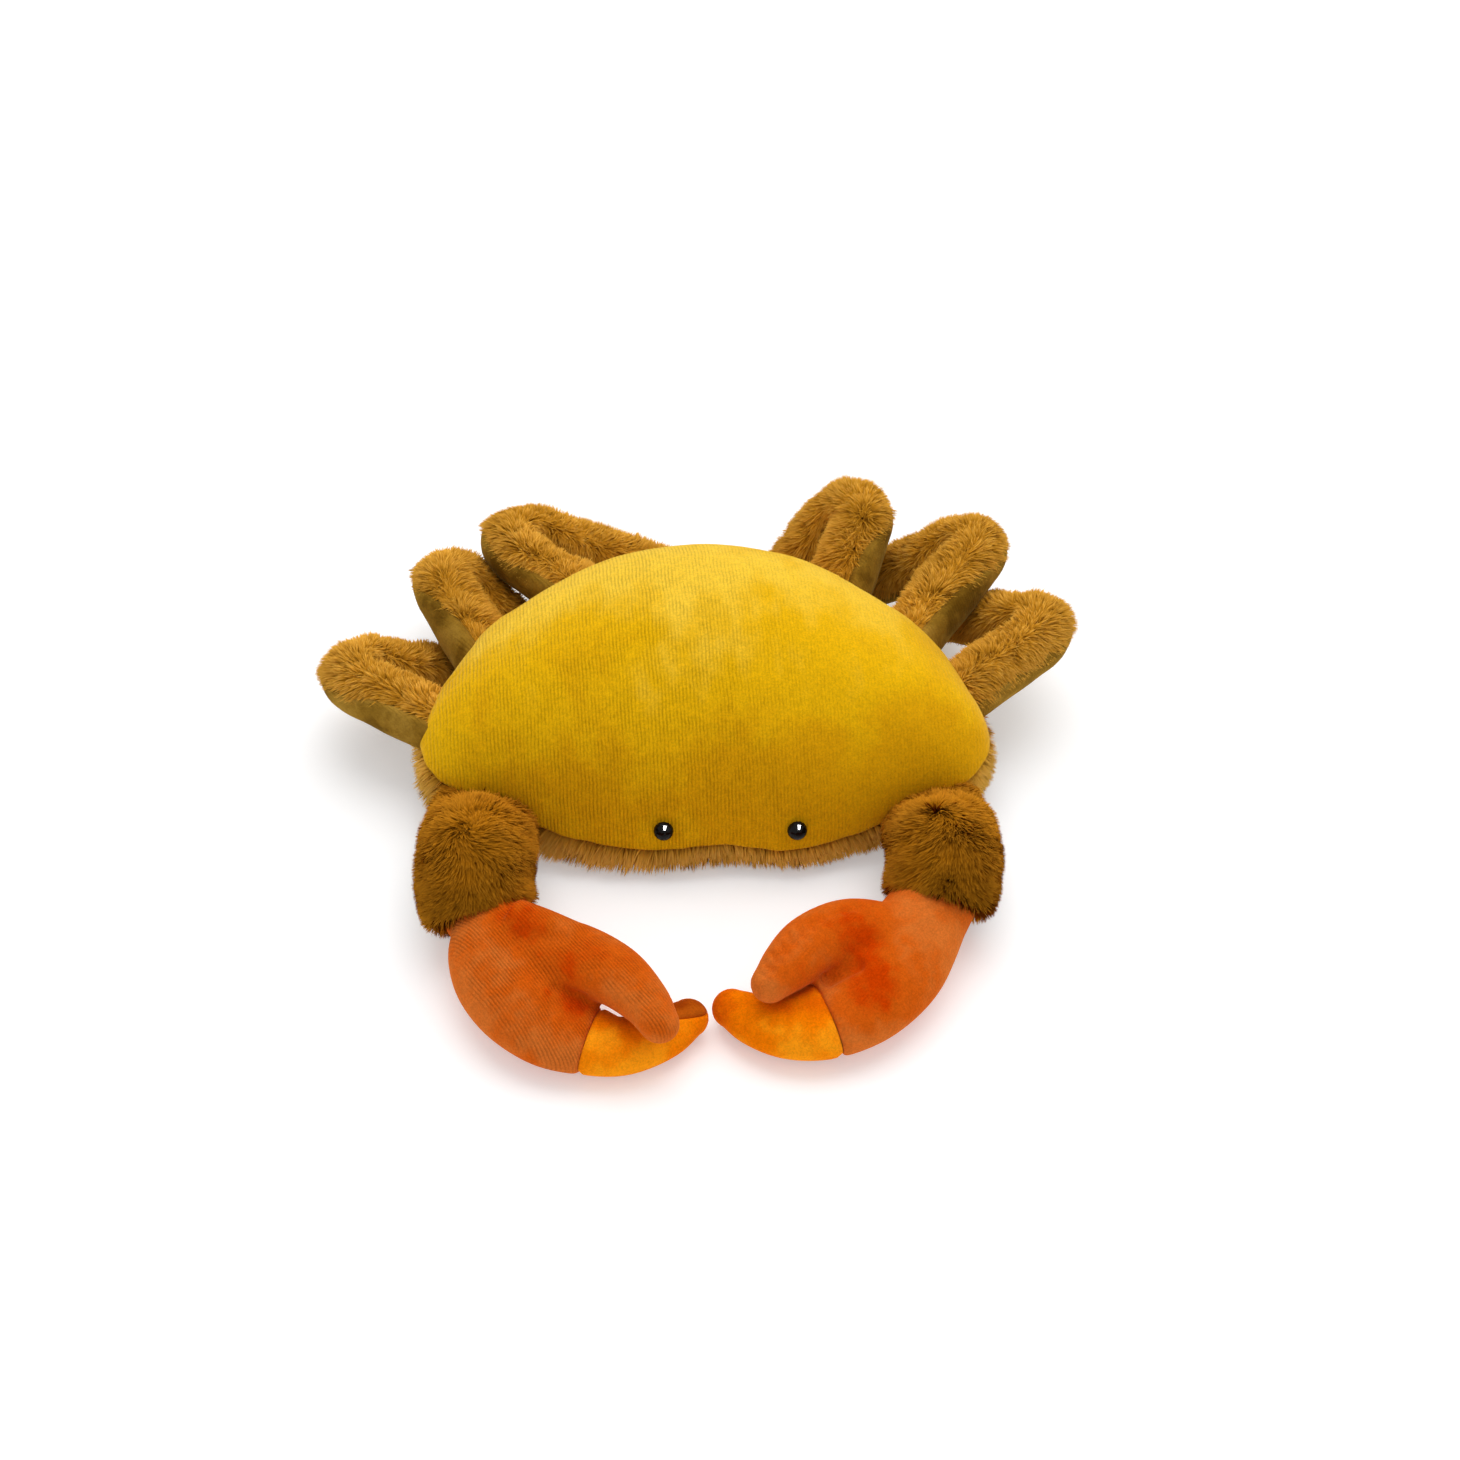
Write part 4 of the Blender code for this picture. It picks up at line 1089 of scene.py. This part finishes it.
def dress_nodes():
    """Materials for the eyes, their washers and the filling."""
    eye = Look("black_plastic_look")
    eye.set("Base Color", (0.004, 0.0035, 0.003))
    eye.set("Specular IOR Level", 0.12)
    eye.set("Roughness", eye.span(eye.noise(0.0008), 0.3, 0.7, 0.05, 0.1))
    washer = Look("white_plastic_look", 0.4)
    washer.set("Base Color", (0.8, 0.8, 0.78))
    washer.bump(washer.noise(0.0006), 0.2, 0.0001)
    filling = Look("filling_look", 0.95)
    wool = filling.noise(0.004, 4.0, 0.7)
    white = filling.mix(wool, (0.78, 0.78, 0.76), (0.9, 0.9, 0.88))
    filling.set("Base Color", white)
    filling.bump(wool, 0.6, 0.001)
    for name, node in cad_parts.items():
        if name.startswith("eye_washer"):
            node.material_slots[0].material = washer.material
        elif name.startswith("eye"):
            node.material_slots[0].material = eye.material
        elif name.endswith("stuffing"):
            node.material_slots[0].material = filling.material


# Stage


def make_stage():
    mesh = bpy.data.meshes.new("floor")
    mesh.from_pydata([(-8, -8, 0), (8, -8, 0), (8, 8, 0), (-8, 8, 0)], [], [(0, 1, 2, 3)])
    floor = new_object("floor", mesh)
    paper = Look("floor_look", 1.0)
    paper.set("Base Color", (0.8, 0.8, 0.8))
    paper.set("Emission Color", (1.0, 1.0, 1.0))
    paper.set("Emission Strength", 0.32)
    paper.set("Specular IOR Level", 0.0)
    mesh.materials.append(paper.material)

    # White to the camera and in reflections, dimmer as a light
    world = bpy.data.worlds.new("white")
    bpy.context.scene.world = world
    world.use_nodes = True
    nodes, links = world.node_tree.nodes, world.node_tree.links
    background = nodes["Background"]
    background.inputs["Color"].default_value = (1, 1, 1, 1)
    path = nodes.new("ShaderNodeLightPath")
    strength = nodes.new("ShaderNodeMapRange")
    strength.inputs["To Min"].default_value = 0.67
    strength.inputs["To Max"].default_value = 1.0
    seen = path.outputs["Is Camera Ray"]
    for ray in ("Is Glossy Ray", "Is Transmission Ray"):
        either = nodes.new("ShaderNodeMath")
        either.operation = "MAXIMUM"
        links.new(seen, either.inputs[0])
        links.new(path.outputs[ray], either.inputs[1])
        seen = either.outputs[0]
    links.new(seen, strength.inputs["Value"])
    links.new(strength.outputs["Result"], background.inputs["Strength"])

    def light(name, kind, place, **settings):
        data = bpy.data.lights.new(name, kind)
        for key, value in settings.items():
            setattr(data, key, value)
        lamp = new_object(name, data)
        lamp.location = place
        lamp.rotation_mode = "QUATERNION"
        lamp.rotation_quaternion = Vector(place).to_track_quat("Z", "Y")
        return lamp

    overhead = light("overhead", "SUN", (0.15, 0.65, 1.1), energy=1.7, angle=math.radians(65))
    overhead.visible_glossy = False
    softbox = light("softbox", "AREA", (0.27, -0.27, 0.78), energy=230, size=0.6)
    softbox.visible_diffuse = False


def make_camera():
    """The photo's camera, which looks at a place a little right of and above the part's origin."""
    photo_width = 1460
    pixels_per_metre = 2500
    pixels_right, pixels_up = 25, 21
    distance = 1.4
    data = bpy.data.cameras.new("photo")
    camera = new_object("photo", data)
    back = Vector((0, -math.sqrt(0.5), math.sqrt(0.5)))
    right = Vector((1, 0, 0))
    up = back.cross(right)
    target = right * (pixels_right / pixels_per_metre) + up * (pixels_up / pixels_per_metre)
    camera.location = target + back * distance
    camera.rotation_mode = "QUATERNION"
    camera.rotation_quaternion = (-back).to_track_quat("-Z", "Y")
    data.sensor_width = 36
    data.lens = data.sensor_width * pixels_per_metre * distance / photo_width
    bpy.context.scene.camera = camera
    bpy.context.scene.view_settings.view_transform = "Standard"


leg_fur = fur(
    "leg_fur_look", srgb(134, 84, 16), srgb(198, 133, 30), srgb(226, 158, 48), srgb(240, 184, 80)
)
sleeve_fur = fur(
    "sleeve_fur_look", srgb(114, 72, 16), srgb(154, 94, 10), srgb(172, 108, 14), srgb(200, 132, 34)
)
belly_fur = fur(
    "belly_fur_look", srgb(184, 120, 32), srgb(228, 164, 52), srgb(242, 182, 72), srgb(248, 196, 96)
)
make_shell()
make_belly(belly_fur)
make_legs(leg_fur)
make_arms(sleeve_fur)
dress_nodes()
make_stage()
make_camera()
